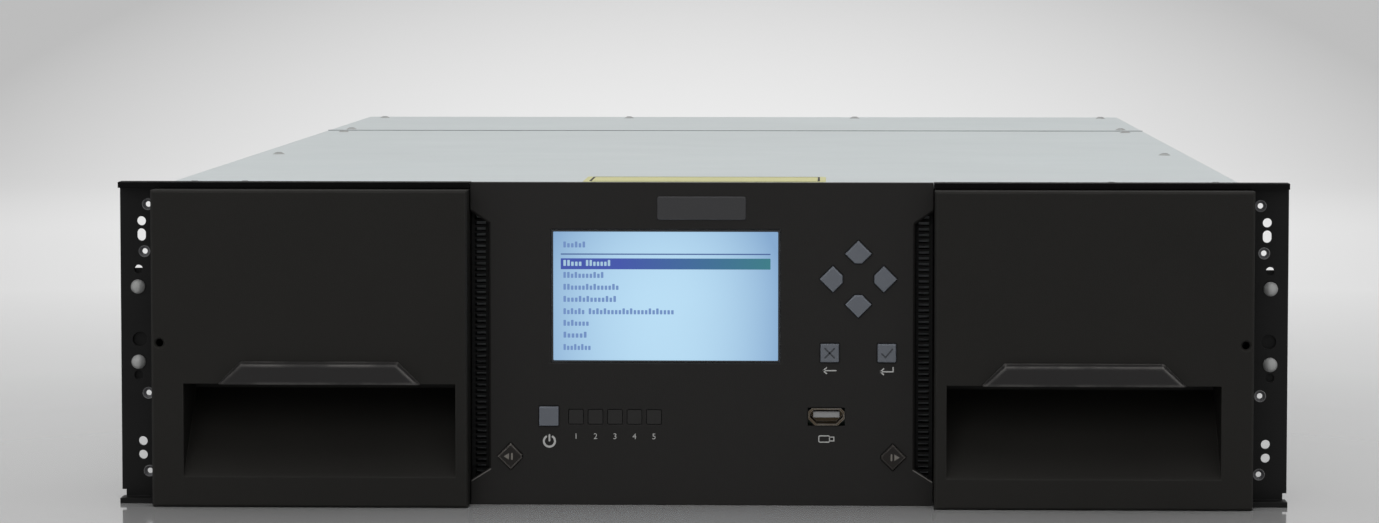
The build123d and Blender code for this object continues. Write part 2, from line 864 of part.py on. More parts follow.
# Vents at both sides of the centre panel: a frame filled with fine level ribs
vent_bottom = panel_recess_bottom - panel_recess_slope_bottom
vent_top = panel_recess_top + panel_recess_slope_top
vent_count = int((vent_top - vent_bottom - 2 * vent_frame) / vent_pitch)
with BuildPart() as vent_grilles:
    for side in (-1, 1):
        inner = side * (panel_recess_half - panel_rim)
        block((inner, side * panel_half), (panel_back, bulkhead_front), (vent_bottom, vent_top))
        block(
            (side * (panel_recess_half + part_gap), side * panel_half),
            (vent_front, panel_back),
            (
                panel_recess_bottom + part_gap,
                panel_recess_top - part_gap,
            ),
        )
        with BuildSketch(facing(bulkhead_front)):
            middle = (panel_recess_half + panel_half) / 2
            with Locations((side * middle, (vent_bottom + vent_top) / 2)):
                with GridLocations(vent_pitch, vent_pitch, 1, vent_count):
                    Rectangle(panel_half - panel_recess_half - 2 * vent_frame, vent_pitch - vent_rib)
        extrude(amount=bulkhead_front - vent_front + cut_over, mode=Mode.SUBTRACT)
save(vent_grilles.part, "vent_grilles")

# Display: a glass window in the panel, and the module behind it
glass_back = panel_front + screen_recess + screen_glass
skin_back = panel_front + panel_skin
with BuildPart() as screen_window:
    block(
        (screen_left + screw_gap, screen_right - screw_gap),
        (panel_front + screen_recess, glass_back),
        (screen_bottom + screw_gap, screen_top - screw_gap),
    )
save(screen_window.part, "screen_window")
with BuildPart() as display_module:
    block(
        (screen_left + screw_gap, screen_right - screw_gap),
        (glass_back, skin_back),
        (screen_bottom + screw_gap, screen_top - screw_gap),
    )
    block(
        (screen_left - display_border, screen_right + display_border),
        (skin_back, skin_back + display_body_depth),
        (screen_bottom - display_border, screen_top + display_border),
    )
save(display_module.part, "display_module")

# Control board on standoffs, with a switch behind each key
key_back = skin_back + part_gap + key_flange_depth
stem_back = board_front - switch_height - key_travel - switch_play
with BuildPart() as control_board:
    block(
        (-board_half, board_half),
        (board_front, board_front + board_thickness),
        (board_bottom, board_top),
    )
    for x in (standoff_inset - board_half, board_half - standoff_inset):
        for z in (board_bottom + standoff_inset, board_top - standoff_inset):
            rod((x, z), standoff_radius, board_front, bulkhead_front)
    for x, z in (centre for centre, outline in keys.values()):
        block(
            (x - switch_side / 2, x + switch_side / 2),
            (board_front - switch_body, board_front),
            (z - switch_side / 2, z + switch_side / 2),
        )
        rod((x, z), key_stem_radius, board_front - switch_height, board_front)
save(control_board.part, "control_board")


def make_key(centre, outline):
    """A key: its cap stands through the panel, and a flange behind the panel keeps it in."""
    with BuildPart() as key:
        with BuildSketch(facing(key_back)):
            add(outline)
        extrude(amount=key_back - panel_front + key_proud)
        chamfer(key.faces().sort_by(Axis.Y)[0].edges(), length=key_edge)
        with BuildSketch(facing(key_back)):
            add(outline)
            offset(amount=key_flange, kind=Kind.INTERSECTION)
        extrude(amount=key_flange_depth)
        rod(centre, key_stem_radius, key_back, stem_back)
    return key.part


for name, (centre, outline) in keys.items():
    save(make_key(centre, outline), name)

# Status windows: five clear blocks on one strip behind the panel
with BuildPart() as status_lenses:
    with BuildSketch(facing(skin_back)):
        for x, z in lens_centres:
            add(square_outline(x, z, lens_side))
    extrude(amount=panel_skin - lens_recess)
    block(
        (lens_centres[0][0] - lens_side / 2, lens_centres[-1][0] + lens_side / 2),
        (skin_back, skin_back + lens_flange),
        (lens_z - lens_side / 2 - lens_flange, lens_z + lens_side / 2 + lens_flange),
    )
save(status_lenses.part, "status_lenses")

# USB port: a steel shell with the contact tongue inside
with BuildPart() as usb_shell:
    with BuildSketch(facing(board_front)):
        add(usb_outline(0))
        add(usb_outline(usb_wall), mode=Mode.SUBTRACT)
    extrude(amount=board_front - panel_front + usb_proud)
    with BuildSketch(facing(board_front)):
        add(usb_outline(0))
    extrude(amount=usb_wall)
save(usb_shell.part, "usb_shell")
with BuildPart() as usb_tongue:
    block(
        (usb_x - tongue_width / 2, usb_x + tongue_width / 2),
        (panel_front + tongue_recess, board_front - usb_wall),
        (usb_z + tongue_rise - tongue_height / 2, usb_z + tongue_rise + tongue_height / 2),
    )
save(usb_tongue.part, "usb_tongue")

# Robot rails in the aisle, grooved along their inner side
first_cell_y = cell_start + (cell_pitch - cell_divider) / 2
robot_travel = (cell_columns - 1) * cell_pitch
rail_front = first_cell_y - carriage_half_length
rail_back = first_cell_y + robot_travel + carriage_half_length
with BuildPart() as robot_rails:
    for side in (-1, 1):
        block((side * rail_inner, side * rail_outer), (rail_front, rail_back), (sheet, rail_top))
        block(
            (side * (rail_inner - cut_over), side * (rail_inner + rail_groove)),
            (rail_front - cut_over, rail_back + cut_over),
            (sheet + rail_groove, rail_top - rail_groove),
            Mode.SUBTRACT,
        )
save(robot_rails.part, "robot_rails")

# Robot carriage: an open plate on the rails, four posts and a frame over them
carriage_bottom = rail_top + carriage_gap
carriage_top = carriage_bottom + carriage_thickness
top_frame_bottom = magazine_top - shelf
post_centres = [(x, first_cell_y + y) for x in (-post_x, post_x) for y in (-post_y, post_y)]
carriage_y = (first_cell_y - carriage_half_length, first_cell_y + carriage_half_length)
with BuildPart() as robot_carriage:
    block((-rail_outer, rail_outer), carriage_y, (carriage_bottom, carriage_top))
    with BuildSketch(Plane.XY.offset(carriage_bottom)):
        with Locations((0, first_cell_y)):
            Circle(turntable_radius)
    extrude(amount=carriage_thickness, mode=Mode.SUBTRACT)
save(robot_carriage.part, "robot_carriage")
with BuildPart() as lift_posts:
    for centre in post_centres:
        post(centre, post_radius, carriage_top, top_frame_bottom)
    with BuildSketch(Plane.XY.offset(top_frame_bottom)):
        with Locations((0, first_cell_y)):
            Rectangle(2 * (post_x + post_radius), 2 * (post_y + post_radius))
            Rectangle(
                2 * (post_x - post_radius), 2 * (post_y - post_radius), mode=Mode.SUBTRACT
            )
    extrude(amount=top_frame_thickness)
save(lift_posts.part, "lift_posts")

# Lift platform on its bushes
platform_bottom = carriage_top + part_gap
platform_top = platform_bottom + platform_thickness
with BuildPart() as lift_platform:
    with BuildSketch(Plane.XY.offset(platform_bottom)):
        with Locations((0, first_cell_y)):
            Rectangle(2 * (post_x + platform_margin), 2 * (post_y + platform_margin))
            Circle(turn_pin_radius + running_gap, mode=Mode.SUBTRACT)
        with Locations(*post_centres):
            Circle(post_radius + running_gap, mode=Mode.SUBTRACT)
    extrude(amount=platform_thickness)
save(lift_platform.part, "lift_platform")
with BuildPart() as lift_bushes:
    for centre in post_centres:
        post(centre, bush_radius, platform_top, platform_top + bush_height)
        post(
            centre,
            post_radius + running_gap,
            platform_top - cut_over,
            platform_top + bush_height + cut_over,
            Mode.SUBTRACT,
        )
save(lift_bushes.part, "lift_bushes")

# Turntable with its pivot, and the cradle that a cartridge slides into
table_bottom = platform_top + part_gap
table_top = table_bottom + turntable_thickness
with BuildPart() as turntable:
    post((0, first_cell_y), turntable_radius, table_bottom, table_top)
    post((0, first_cell_y), turn_pin_radius, platform_bottom, table_bottom)
save(turntable.part, "turntable")

cradle_half = cartridge_width / 2 + picker_gap
cradle_y = (first_cell_y - picker_length / 2, first_cell_y + picker_length / 2)
with BuildPart() as picker_cradle:
    block(
        (-cradle_half - picker_wall, cradle_half + picker_wall),
        cradle_y,
        (table_top, table_top + picker_wall),
    )
    for side in (-1, 1):
        block(
            (side * cradle_half, side * (cradle_half + picker_wall)),
            cradle_y,
            (table_top, table_top + picker_height),
        )
        block(
            (side * (cradle_half - cut_over), side * (cradle_half + picker_wall + cut_over)),
            (cradle_y[0] + picker_beam, cradle_y[0] + picker_beam + gripper_block + gripper_reach),
            (table_top + picker_slot_bottom, table_top + picker_slot_bottom + picker_slot_height),
            Mode.SUBTRACT,
        )
save(picker_cradle.part, "picker_cradle")

# Gripper: a block across the cradle with two fingers that reach forward
gripper_bottom = table_top + picker_wall + gripper_gap
gripper_top = table_top + picker_height
with BuildPart() as gripper:
    block(
        (-cradle_half + gripper_gap, cradle_half - gripper_gap),
        (cradle_y[0] + gripper_gap, cradle_y[0] + gripper_block),
        (gripper_bottom, gripper_top),
    )
    for side in (-1, 1):
        block(
            (side * gripper_spread, side * (gripper_spread + gripper_finger)),
            (cradle_y[0] + gripper_block, cradle_y[0] + gripper_block + gripper_finger_length),
            (gripper_bottom + gripper_finger, gripper_top - gripper_finger),
        )
save(gripper.part, "gripper")

# Walls of the rear bays
with BuildPart() as bay_frame:
    for side in (-1, 1):
        block(
            (side * bay_wall, side * (bay_wall + sheet)),
            (bay_front, chassis_back - sheet),
            (sheet, lid_bottom),
        )
        block(
            (side * rail_outer, side * (side_inner - side_flange)),
            (bay_bulkhead_y, bay_bulkhead_y + sheet),
            (sheet, lid_bottom),
        )
        for level in range(1, sled_count):
            ledge_top = module_bottom + level * sled_pitch - part_gap
            block(
                (side * (bay_wall - sled_ledge), side * bay_wall),
                (bay_front, chassis_back - sheet),
                (ledge_top - sled_ledge_thickness, ledge_top),
            )
    for level in range(1, supply_count):
        shelf_top = module_bottom + level * supply_pitch - part_gap
        block(
            (bay_wall + sheet, side_inner),
            (supply_front, chassis_back - sheet),
            (shelf_top - sheet, shelf_top),
        )
save(bay_frame.part, "bay_frame")

# Rear panel with openings for the modules
module_openings = [
    (
        (-sled_half - part_gap, sled_half + part_gap),
        (sheet, module_bottom + (sled_count - 1) * sled_pitch + sled_height + part_gap),
    ),
    (
        (supply_inner - part_gap, supply_outer + part_gap),
        (sheet, module_bottom + (supply_count - 1) * supply_pitch + supply_height + part_gap),
    ),
    (
        (-supply_outer - part_gap, -supply_inner + part_gap),
        (sheet, module_bottom + controller_height + part_gap),
    ),
]
with BuildPart() as rear_panel:
    block((-side_inner, side_inner), (chassis_back - sheet, chassis_back), (0, lid_bottom))
    for x, z in module_openings:
        block(x, (chassis_back - sheet - cut_over, chassis_back + cut_over), z, Mode.SUBTRACT)
save(rear_panel.part, "rear_panel")


def thumbscrew(x, z):
    """A captive screw that stands out of the back: a neck and a slotted head."""
    head_back = chassis_back + thumbscrew_length
    rod((x, z), thumbscrew_neck_radius, chassis_back, chassis_back + thumbscrew_neck_length)
    rod((x, z), thumbscrew_radius, chassis_back + thumbscrew_neck_length, head_back)
    block(
        (x - thumbscrew_radius, x + thumbscrew_radius),
        (head_back - thumbscrew_slot, head_back + cut_over),
        (z - thumbscrew_slot / 2, z + thumbscrew_slot / 2),
        Mode.SUBTRACT,
    )


def make_sled(level):
    """A drive's tray with its rear face, two thumbscrews, a pull tab and vent holes."""
    z = module_bottom + level * sled_pitch
    z_top = z + sled_height
    face_y = chassis_back - sled_face
    with BuildPart() as sled:
        block((-sled_half, sled_half), (bay_front, face_y), (z, z + sheet))
        for side in (-1, 1):
            block(
                (side * sled_half, side * (sled_half - sheet)), (bay_front, face_y), (z, z + sled_rim)
            )
        block((-sled_half, sled_half), (face_y, chassis_back), (z, z_top))
        with BuildSketch(facing(chassis_back)):
            with Locations((0, (z + z_top) / 2 + face_vent_pitch)):
                with GridLocations(face_vent_pitch, face_vent_pitch, 16, 3):
                    Circle(face_vent_radius)
            with Locations((-sled_half / 2, z + port_slot_height), (sled_half / 2, z + port_slot_height)):
                RectangleRounded(port_slot_length, port_slot_height / 2, square_key_radius)
        extrude(amount=sled_face, mode=Mode.SUBTRACT)
        for side in (-1, 1):
            thumbscrew(side * (sled_half - thumbscrew_inset), (z + z_top) / 2)
        block(
            (-tab_width / 2, tab_width / 2),
            (chassis_back, chassis_back + tab_length),
            (z + tab_height, z + 2 * tab_height),
        )
    return sled.part


def make_drive(level):
    """A half-height drive: a steel case with the cartridge mouth in its front."""
    z = module_bottom + level * sled_pitch + sheet
    y = bay_front + drive_setback
    mouth_z = z + mouth_share * drive_height
    with BuildPart() as drive:
        block((-drive_half, drive_half), (y, y + drive_depth), (z, z + drive_height))
        block(
            (-drive_half + drive_wall, drive_half - drive_wall),
            (y + drive_wall, y + drive_depth - drive_wall),
            (z + drive_wall, z + drive_height - drive_wall),
            Mode.SUBTRACT,
        )
        block(
            (-mouth_half, mouth_half),
            (y - cut_over, y + drive_wall + cut_over),
            (mouth_z - mouth_height / 2, mouth_z + mouth_height / 2),
            Mode.SUBTRACT,
        )
    return drive.part


for level in range(sled_count):
    save(make_sled(level), f"drive_sled_{level + 1}")
    save(make_drive(level), f"tape_drive_{level + 1}")


def supply_heights(level):
    """Lowest and highest Z of a power supply."""
    z = module_bottom + level * supply_pitch
    return z, z + supply_height


def make_supply(level):
    """A power supply's case: a fan duct with its guard, an inlet hole and a pull tab."""
    z, z_top = supply_heights(level)
    centre = (fan_x, (z + z_top) / 2)
    with BuildPart() as supply:
        block((supply_inner, supply_outer), (supply_front, chassis_back), (z, z_top))
        block(
            (supply_inner + supply_wall, supply_outer - supply_wall),
            (supply_front + supply_wall, chassis_back - supply_wall),
            (z + supply_wall, z_top - supply_wall),
            Mode.SUBTRACT,
        )
        with BuildSketch(facing(chassis_back)):
            with Locations(centre):
                Circle(fan_duct_radius + supply_wall)
        extrude(amount=fan_duct_depth)
        with BuildSketch(facing(chassis_back)):
            with Locations(centre):
                Circle(fan_duct_radius)
        extrude(amount=fan_duct_depth, mode=Mode.SUBTRACT)
        with BuildSketch(facing(chassis_back)):
            with Locations(centre):
                for share in grille_ring_shares:
                    Circle(share * fan_duct_radius + grille_ring)
                    Circle(share * fan_duct_radius, mode=Mode.SUBTRACT)
                Circle(fan_hub_radius)
                Rectangle(2 * fan_duct_radius + supply_wall, grille_ring)
                Rectangle(grille_ring, 2 * fan_duct_radius + supply_wall)
        extrude(amount=grille_depth)
        rod(centre, fan_pin_radius, chassis_back - grille_depth - fan_thickness, chassis_back)
        block(
            (inlet_x - inlet_width / 2 - inlet_wall, inlet_x + inlet_width / 2 + inlet_wall),
            (chassis_back - supply_wall - cut_over, chassis_back + cut_over),
            (
                centre[1] - inlet_height / 2 - inlet_wall,
                centre[1] + inlet_height / 2 + inlet_wall,
            ),
            Mode.SUBTRACT,
        )
        block(
            (supply_outer - tab_width, supply_outer - tab_height),
            (chassis_back, chassis_back + tab_length),
            (z + tab_height, z + 2 * tab_height),
        )
    return supply.part


def make_fan(level):
    """A fan's rotor: a hub on the supply's pin, with blades set at a pitch angle."""
    z, z_top = supply_heights(level)
    middle = (z + z_top) / 2
    y_back = chassis_back - grille_depth - part_gap
    y_front = y_back - fan_thickness
    blade_start = fan_hub_radius - fan_blade_thickness
    blade_length = fan_radius - blade_start
    with BuildPart() as fan:
        rod((fan_x, middle), fan_hub_radius, y_front, y_back)
        for blade in range(fan_blades):
            turn = Rotation(0, blade * 360 / fan_blades, 0)
            lean = Rotation(0, 0, fan_pitch_angle)
            place = Location((fan_x, (y_front + y_back) / 2, middle)) * turn * lean
            with Locations(place * Location((0, 0, blade_start + blade_length / 2))):
                Box(fan_blade_thickness, 0.8 * fan_thickness, blade_length)
        rod(
            (fan_x, middle),
            fan_pin_radius + running_gap,
            y_front - cut_over,
            y_back + cut_over,
            Mode.SUBTRACT,
        )
    return fan.part


def make_inlet(level):
    """A mains inlet: a flanged socket with three flat blades inside."""
    z, z_top = supply_heights(level)
    middle = (z + z_top) / 2
    back = chassis_back + inlet_proud
    with BuildPart() as inlet:
        with BuildSketch(facing(back)):
            with Locations((inlet_x, middle)):
                RectangleRounded(
                    inlet_width + 2 * (inlet_wall + inlet_flange),
                    inlet_height + 2 * (inlet_wall + inlet_flange),
                    inlet_wall,
                )
        extrude(amount=inlet_proud)
        block(
            (inlet_x - inlet_width / 2 - inlet_wall, inlet_x + inlet_width / 2 + inlet_wall),
            (back - inlet_depth - inlet_wall, back),
            (middle - inlet_height / 2 - inlet_wall, middle + inlet_height / 2 + inlet_wall),
        )
        with BuildSketch(facing(back)) as socket:
            with Locations((inlet_x, middle)):
                Rectangle(inlet_width, inlet_height)
            chamfer(socket.vertices().group_by(Axis.Y)[-1], length=inlet_corner)
        extrude(amount=inlet_depth, mode=Mode.SUBTRACT)
        for step, rise in ((-1, -blade_rise), (0, blade_rise), (1, -blade_rise)):
            x = inlet_x + step * blade_pitch
            block(
                (x - blade_width / 2, x + blade_width / 2),
                (back - inlet_depth, back - blade_recess),
                (middle + rise - blade_height / 2, middle + rise + blade_height / 2),
            )
    return inlet.part


for level in range(supply_count):
    save(make_supply(level), f"power_supply_{level + 1}")
    save(make_fan(level), f"supply_fan_{level + 1}")
    save(make_inlet(level), f"power_inlet_{level + 1}")

# Controller module: a tray with a board, a rear face and a row of network ports
port_centres = [
    (-(supply_inner + supply_outer) / 2 + (step - (port_count - 1) / 2) * port_pitch, port_z)
    for step in range(port_count)
]
with BuildPart() as controller_module:
    x_span = (-supply_outer, -supply_inner)
    face_y = chassis_back - sled_face
    controller_top = module_bottom + controller_height
    block(x_span, (controller_front, face_y), (module_bottom, module_bottom + sheet))
    block(x_span, (face_y, chassis_back), (module_bottom, controller_top))
    block(
        (-supply_outer, -supply_outer + sheet),
        (controller_front, face_y),
        (module_bottom, controller_top),
    )
    with BuildSketch(facing(chassis_back)):
        with Locations(*port_centres):
            Rectangle(port_width, port_height)
        with Locations(((x_span[0] + x_span[1]) / 2, controller_top - 5 * face_vent_pitch)):
            with GridLocations(face_vent_pitch, face_vent_pitch, 14, 5):
                Circle(face_vent_radius)
    extrude(amount=sled_face, mode=Mode.SUBTRACT)
    for x in (x_span[0] + thumbscrew_inset, x_span[1] - thumbscrew_inset):
        thumbscrew(x, module_bottom + thumbscrew_inset)
    block(
        (x_span[0] + controller_board_rise, x_span[1] - controller_board_rise),
        (controller_front + controller_board_rise, face_y - port_depth),
        (module_bottom + sheet, module_bottom + sheet + board_thickness),
    )
save(controller_module.part, "controller_module")
with BuildPart() as controller_ports:
    for x, z in port_centres:
        block(
            (x - port_width / 2 - port_wall, x + port_width / 2 + port_wall),
            (face_y - port_depth, face_y),
            (z - port_height / 2 - port_wall, z + port_height / 2 + port_wall),
        )
        block(
            (x - port_width / 2, x + port_width / 2),
            (face_y - port_depth + port_wall, face_y + cut_over),
            (z - port_height / 2, z + port_height / 2),
            Mode.SUBTRACT,
        )
save(controller_ports.part, "controller_ports")
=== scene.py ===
"""Finishes and small parts of a rack-mount tape library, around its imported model."""

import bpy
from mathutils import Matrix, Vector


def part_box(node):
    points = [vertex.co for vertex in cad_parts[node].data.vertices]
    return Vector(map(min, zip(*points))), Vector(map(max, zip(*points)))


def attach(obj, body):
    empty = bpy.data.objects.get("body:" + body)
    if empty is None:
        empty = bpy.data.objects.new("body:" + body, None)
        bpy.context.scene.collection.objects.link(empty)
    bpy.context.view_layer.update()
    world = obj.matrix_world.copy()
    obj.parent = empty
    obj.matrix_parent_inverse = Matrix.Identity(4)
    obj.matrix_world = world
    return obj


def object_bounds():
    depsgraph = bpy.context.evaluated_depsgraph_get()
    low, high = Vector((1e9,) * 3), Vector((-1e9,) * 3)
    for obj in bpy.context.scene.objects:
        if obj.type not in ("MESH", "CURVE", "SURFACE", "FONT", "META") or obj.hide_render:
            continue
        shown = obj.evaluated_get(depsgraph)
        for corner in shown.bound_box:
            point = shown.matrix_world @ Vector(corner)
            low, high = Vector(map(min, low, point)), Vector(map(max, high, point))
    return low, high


bl_info = {
    "name": "Tape Library Finishes",
    "version": (1, 0, 0),
    "blender": (4, 5, 0),
    "location": "View3D > Sidebar > Tape Library",
    "description": "Dresses a rack-mount tape library with finishes, legends and trim",
    "category": "Object",
}

from math import pi, radians

import bpy
import numpy as np
from bpy.props import FloatProperty, FloatVectorProperty, IntProperty, PointerProperty
from bpy.types import Operator, Panel, PropertyGroup
from mathutils import Vector

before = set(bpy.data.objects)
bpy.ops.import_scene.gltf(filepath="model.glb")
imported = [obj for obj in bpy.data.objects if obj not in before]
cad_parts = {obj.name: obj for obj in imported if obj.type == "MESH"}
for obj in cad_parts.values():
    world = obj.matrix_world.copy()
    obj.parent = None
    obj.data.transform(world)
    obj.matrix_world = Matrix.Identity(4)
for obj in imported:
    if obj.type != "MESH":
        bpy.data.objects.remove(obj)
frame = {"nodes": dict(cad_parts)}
NODES = frame["nodes"]
CAD_LOW, CAD_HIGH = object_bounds()
PHOTO_WIDTH = 1379
SENSOR_WIDTH = 36.0
MM = 0.001
HANDS = {"left": -1, "right": 1}
DRIVES = (1, 2, 3)
SUPPLIES = (1, 2)

# Directions across, up and out of each side of the library, as seen from that side
SIDES = {
    "front": ((1, 0, 0), (0, 0, 1), (0, -1, 0)),
    "back": ((-1, 0, 0), (0, 0, 1), (0, 1, 0)),
    "top": ((1, 0, 0), (0, 1, 0), (0, 0, 1)),
    "right": ((0, 1, 0), (0, 0, 1), (1, 0, 0)),
    "left": ((0, -1, 0), (0, 0, 1), (-1, 0, 0)),
}


def seen(red, green, blue):
    """The linear colour of one given as it is seen, 0 to 255: the usual screen curve undone."""
    level = np.array((red, green, blue)) / 255
    return tuple(np.where(level <= 0.04045, level / 12.92, ((level + 0.055) / 1.055) ** 2.4))


def colour(label, red, green, blue):
    """A colour property whose default is given as it is seen."""
    return FloatVectorProperty(
        name=label,
        description=f"{label}, in linear light",
        subtype="COLOR",
        size=3,
        min=0.0,
        max=1.0,
        default=seen(red, green, blue),
    )


def length(label, millimetres, note):
    """A length property. Its default is given in millimetres."""
    return FloatProperty(
        name=label, description=note, default=millimetres * MM, min=0.0, unit="LENGTH"
    )


class LibraryColours(PropertyGroup):
    """Colours of the library's surfaces."""

    lid: colour("Lid coat", 200, 207, 208)
    zinc: colour("Zinc sheet", 176, 180, 182)
    ear: colour("Ear coat", 16, 16, 16)
    door: colour("Door moulding", 30, 29, 27)
    panel: colour("Panel moulding", 34, 33, 32)
    # Painted highlight: the light colour of the strips on the panel's cut corners, where sloped
    # faces catch light
    panel_edge: colour("Panel edge highlights", 104, 102, 99)
    vent: colour("Vent moulding", 22, 22, 22)
    # Darker than the ear coat, partly painted shade: the shade along the strips under the lid's
    # edge
    strip: colour("Shaded strip coat", 10, 10, 10)
    countersink: colour("Countersinks", 104, 104, 107)
    # Lighter than the door moulding, partly painted light: the hood's upward slope catching light
    # from above
    hood: colour("Lit hood moulding", 38, 37, 37)
    key: colour("Grey keys", 98, 102, 109)
    release_key: colour("Release keys", 32, 29, 27)
    lens: colour("Status windows", 32, 31, 30)
    legend: colour("Printed legends", 182, 182, 180)
    key_legend: colour("Key legends", 58, 61, 66)
    release_legend: colour("Release key legends", 118, 114, 108)
    dark_print: colour("Dark print", 38, 38, 40)
    badge: colour("Blank badge", 46, 46, 48)
    # Painted shade: a darker grey strip stands for the shadow line in the lid's seam
    label: colour("Blank lid label", 206, 204, 147)
    seam: colour("Lid seam shade", 134, 139, 141)
    steel: colour("Bright steel", 178, 179, 178)
    socket: colour("Screw sockets", 112, 115, 116)
    aluminium: colour("Aluminium", 186, 188, 190)
    shell: colour("Port shell", 92, 80, 64)
    tongue: colour("Contact tongue", 150, 150, 150)
    bronze: colour("Bronze", 178, 138, 84)
    gold: colour("Gold contacts", 206, 168, 92)
    board: colour("Circuit board", 18, 74, 42)
    frame: colour("Inner mouldings", 60, 61, 64)
    cartridge: colour("Cartridges", 36, 42, 58)
    write_tab: colour("Write tabs", 150, 44, 36)
    paper: colour("Paper labels", 214, 214, 208)
    glass: colour("Screen border", 14, 18, 26)
    screen_middle: colour("Screen middle", 184, 220, 243)
    screen_edge: colour("Screen edge", 132, 168, 206)
    menu_text: colour("Menu letters", 112, 142, 192)
    rule: colour("Menu rule", 70, 96, 150)
    bar_left: colour("Menu bar, left end", 66, 84, 168)
    bar_right: colour("Menu bar, right end", 56, 124, 130)
    ready_light: colour("Ready light", 60, 190, 96)


class LibrarySizes(PropertyGroup):
    """Sizes of the printed marks and small trim."""

    print_height: length("Print height", 0.06, "How far a printed mark stands up")
    stroke: length("Symbol line", 0.62, "Width of the lines in the printed symbols")
    numeral: length("Numeral size", 3.4, "Height of the numerals under the windows")
    port_numeral: length("Port numeral size", 4.0, "Height of the numerals on the rear faces")
    letter_height: length("Letter block height", 1.75, "Height of the menu's plain letter blocks")
    letter_pitch: length("Letter block pitch", 1.55, "From one letter block to the next")
    word_gap: length("Word gap", 1.3, "Gap between two words of a menu line")
    badge_width: length("Badge width", 36.6, "Width of the blank badge over the screen")
    badge_height: length("Badge height", 9.7, "Height of the blank badge over the screen")
    badge_rise: length("Badge rise", 9.05, "From the screen's top edge to the badge's middle")
    label_width: length("Label width", 102.0, "Width of the blank label on the lid")
    label_depth: length("Label depth", 44.0, "Depth of the blank label on the lid")
    label_setback: length("Label setback", 30.0, "From the lid's front edge to the label")
    socket: length("Screw socket", 1.15, "Radius of the sockets in the screw heads")
    seam_rise: length("Seam rise", 0.35, "How far the strip in the lid's seam stands up")
    lobes: IntProperty(
        name="Socket lobes", description="Number of lobes of a screw socket", default=6, min=3
    )


class StageSettings(PropertyGroup):
    """Camera, floor and lamps."""

    camera_place: FloatVectorProperty(
        name="Camera place",
        description="Where the camera stands",
        subtype="TRANSLATION",
        size=3,
        default=(0.05347, -1.8390, 0.22235),
    )
    camera_turn: FloatProperty(
        name="Camera turn",
        description="Turn of the camera towards the library's left side",
        subtype="ANGLE",
        default=radians(1.8275),
    )
    camera_tilt: FloatProperty(
        name="Camera tilt",
        description="Tilt of the camera below the horizon",
        subtype="ANGLE",
        default=radians(3.796),
    )
    focal_pixels: FloatProperty(
        name="Focal length",
        description="Focal length, in pixels of an image 1379 pixels wide",
        default=4464.0,
        min=1.0,
    )
    # The backdrop's middle and far colours: the step between them is a painted pool of light
    backdrop: colour("Backdrop", 247, 247, 247)
    backdrop_edge: colour("Backdrop far out", 194, 194, 194)
    world: FloatProperty(
        name="World strength", description="Strength of the even light", default=0.5, min=0.0
    )
    overhead: FloatProperty(
        name="Overhead lamp", description="Power of the overhead lamp", default=30.0, unit="POWER"
    )
    front_lamp: FloatProperty(
        name="Front lamp", description="Power of the lamp by the camera", default=21.0, unit="POWER"
    )
    rim_lamp: FloatProperty(
        name="Rear lamp", description="Power of the lamp behind", default=14.0, unit="POWER"
    )


def colours():
    """The library's colours."""
    return bpy.context.scene.library_colours


def sizes():
    """The sizes of its marks and trim."""
    return bpy.context.scene.library_sizes


def stage():
    """The stage settings."""
    return bpy.context.scene.library_stage


# Shader nodes


def set_input(tree, socket, value):
    """A node's input linked to another socket, or set to a value."""
    if isinstance(value, bpy.types.NodeSocket):
        tree.links.new(value, socket)
    else:
        socket.default_value = value


def add_node(tree, kind, inputs=None, **settings):
    """A shader node with its settings, and a value or a link for each of its inputs."""
    made = tree.nodes.new(kind)
    for label, value in settings.items():
        setattr(made, label, value)
    for label, value in (inputs or {}).items():
        set_input(tree, made.inputs[label], value)
    return made


def math_node(tree, operation, *values, clamp=False):
    """The result of a Math node."""
    made = add_node(
        tree, "ShaderNodeMath", dict(enumerate(values)), operation=operation, use_clamp=clamp
    )
    return made.outputs[0]


def vector_math(tree, operation, inputs, result="Vector"):
    """A result of a Vector Math node."""
    made = add_node(tree, "ShaderNodeVectorMath", inputs, operation=operation)
    return made.outputs[result]


def spread(tree, value, low, high, to_low=0.0, to_high=1.0):
    """A value carried from one span to another, and held at its ends."""
    inputs = {"Value": value, "From Min": low, "From Max": high}
    inputs |= {"To Min": to_low, "To Max": to_high}
    return add_node(tree, "ShaderNodeMapRange", inputs).outputs["Result"]


def mix(tree, factor, first, second):
    """Two colours mixed by a factor."""
    inputs = {0: factor, 6: first, 7: second}
    return add_node(tree, "ShaderNodeMix", inputs, data_type="RGBA").outputs[2]


def noise(tree, place, scale, detail=2.0, roughness=0.5):
    """The grey value of a noise texture."""
    inputs = {"Vector": place, "Scale": scale, "Detail": detail, "Roughness": roughness}
    return add_node(tree, "ShaderNodeTexNoise", inputs).outputs["Fac"]


def object_place(tree, stretch=None):
    """Object coordinates, stretched where a pattern runs one way."""
    place = add_node(tree, "ShaderNodeTexCoord").outputs["Object"]
    if stretch is None:
        return place
    return vector_math(tree, "MULTIPLY", {0: place, 1: stretch})


def parts_of(tree, vector):
    """The X, Y and Z outputs of a vector or a colour."""
    return add_node(tree, "ShaderNodeSeparateXYZ", {0: vector}).outputs


def rounded_normal(tree, radius):
    """The normal of a surface as if its edges were rounded."""
    return add_node(tree, "ShaderNodeBevel", {"Radius": radius}, samples=4).outputs["Normal"]


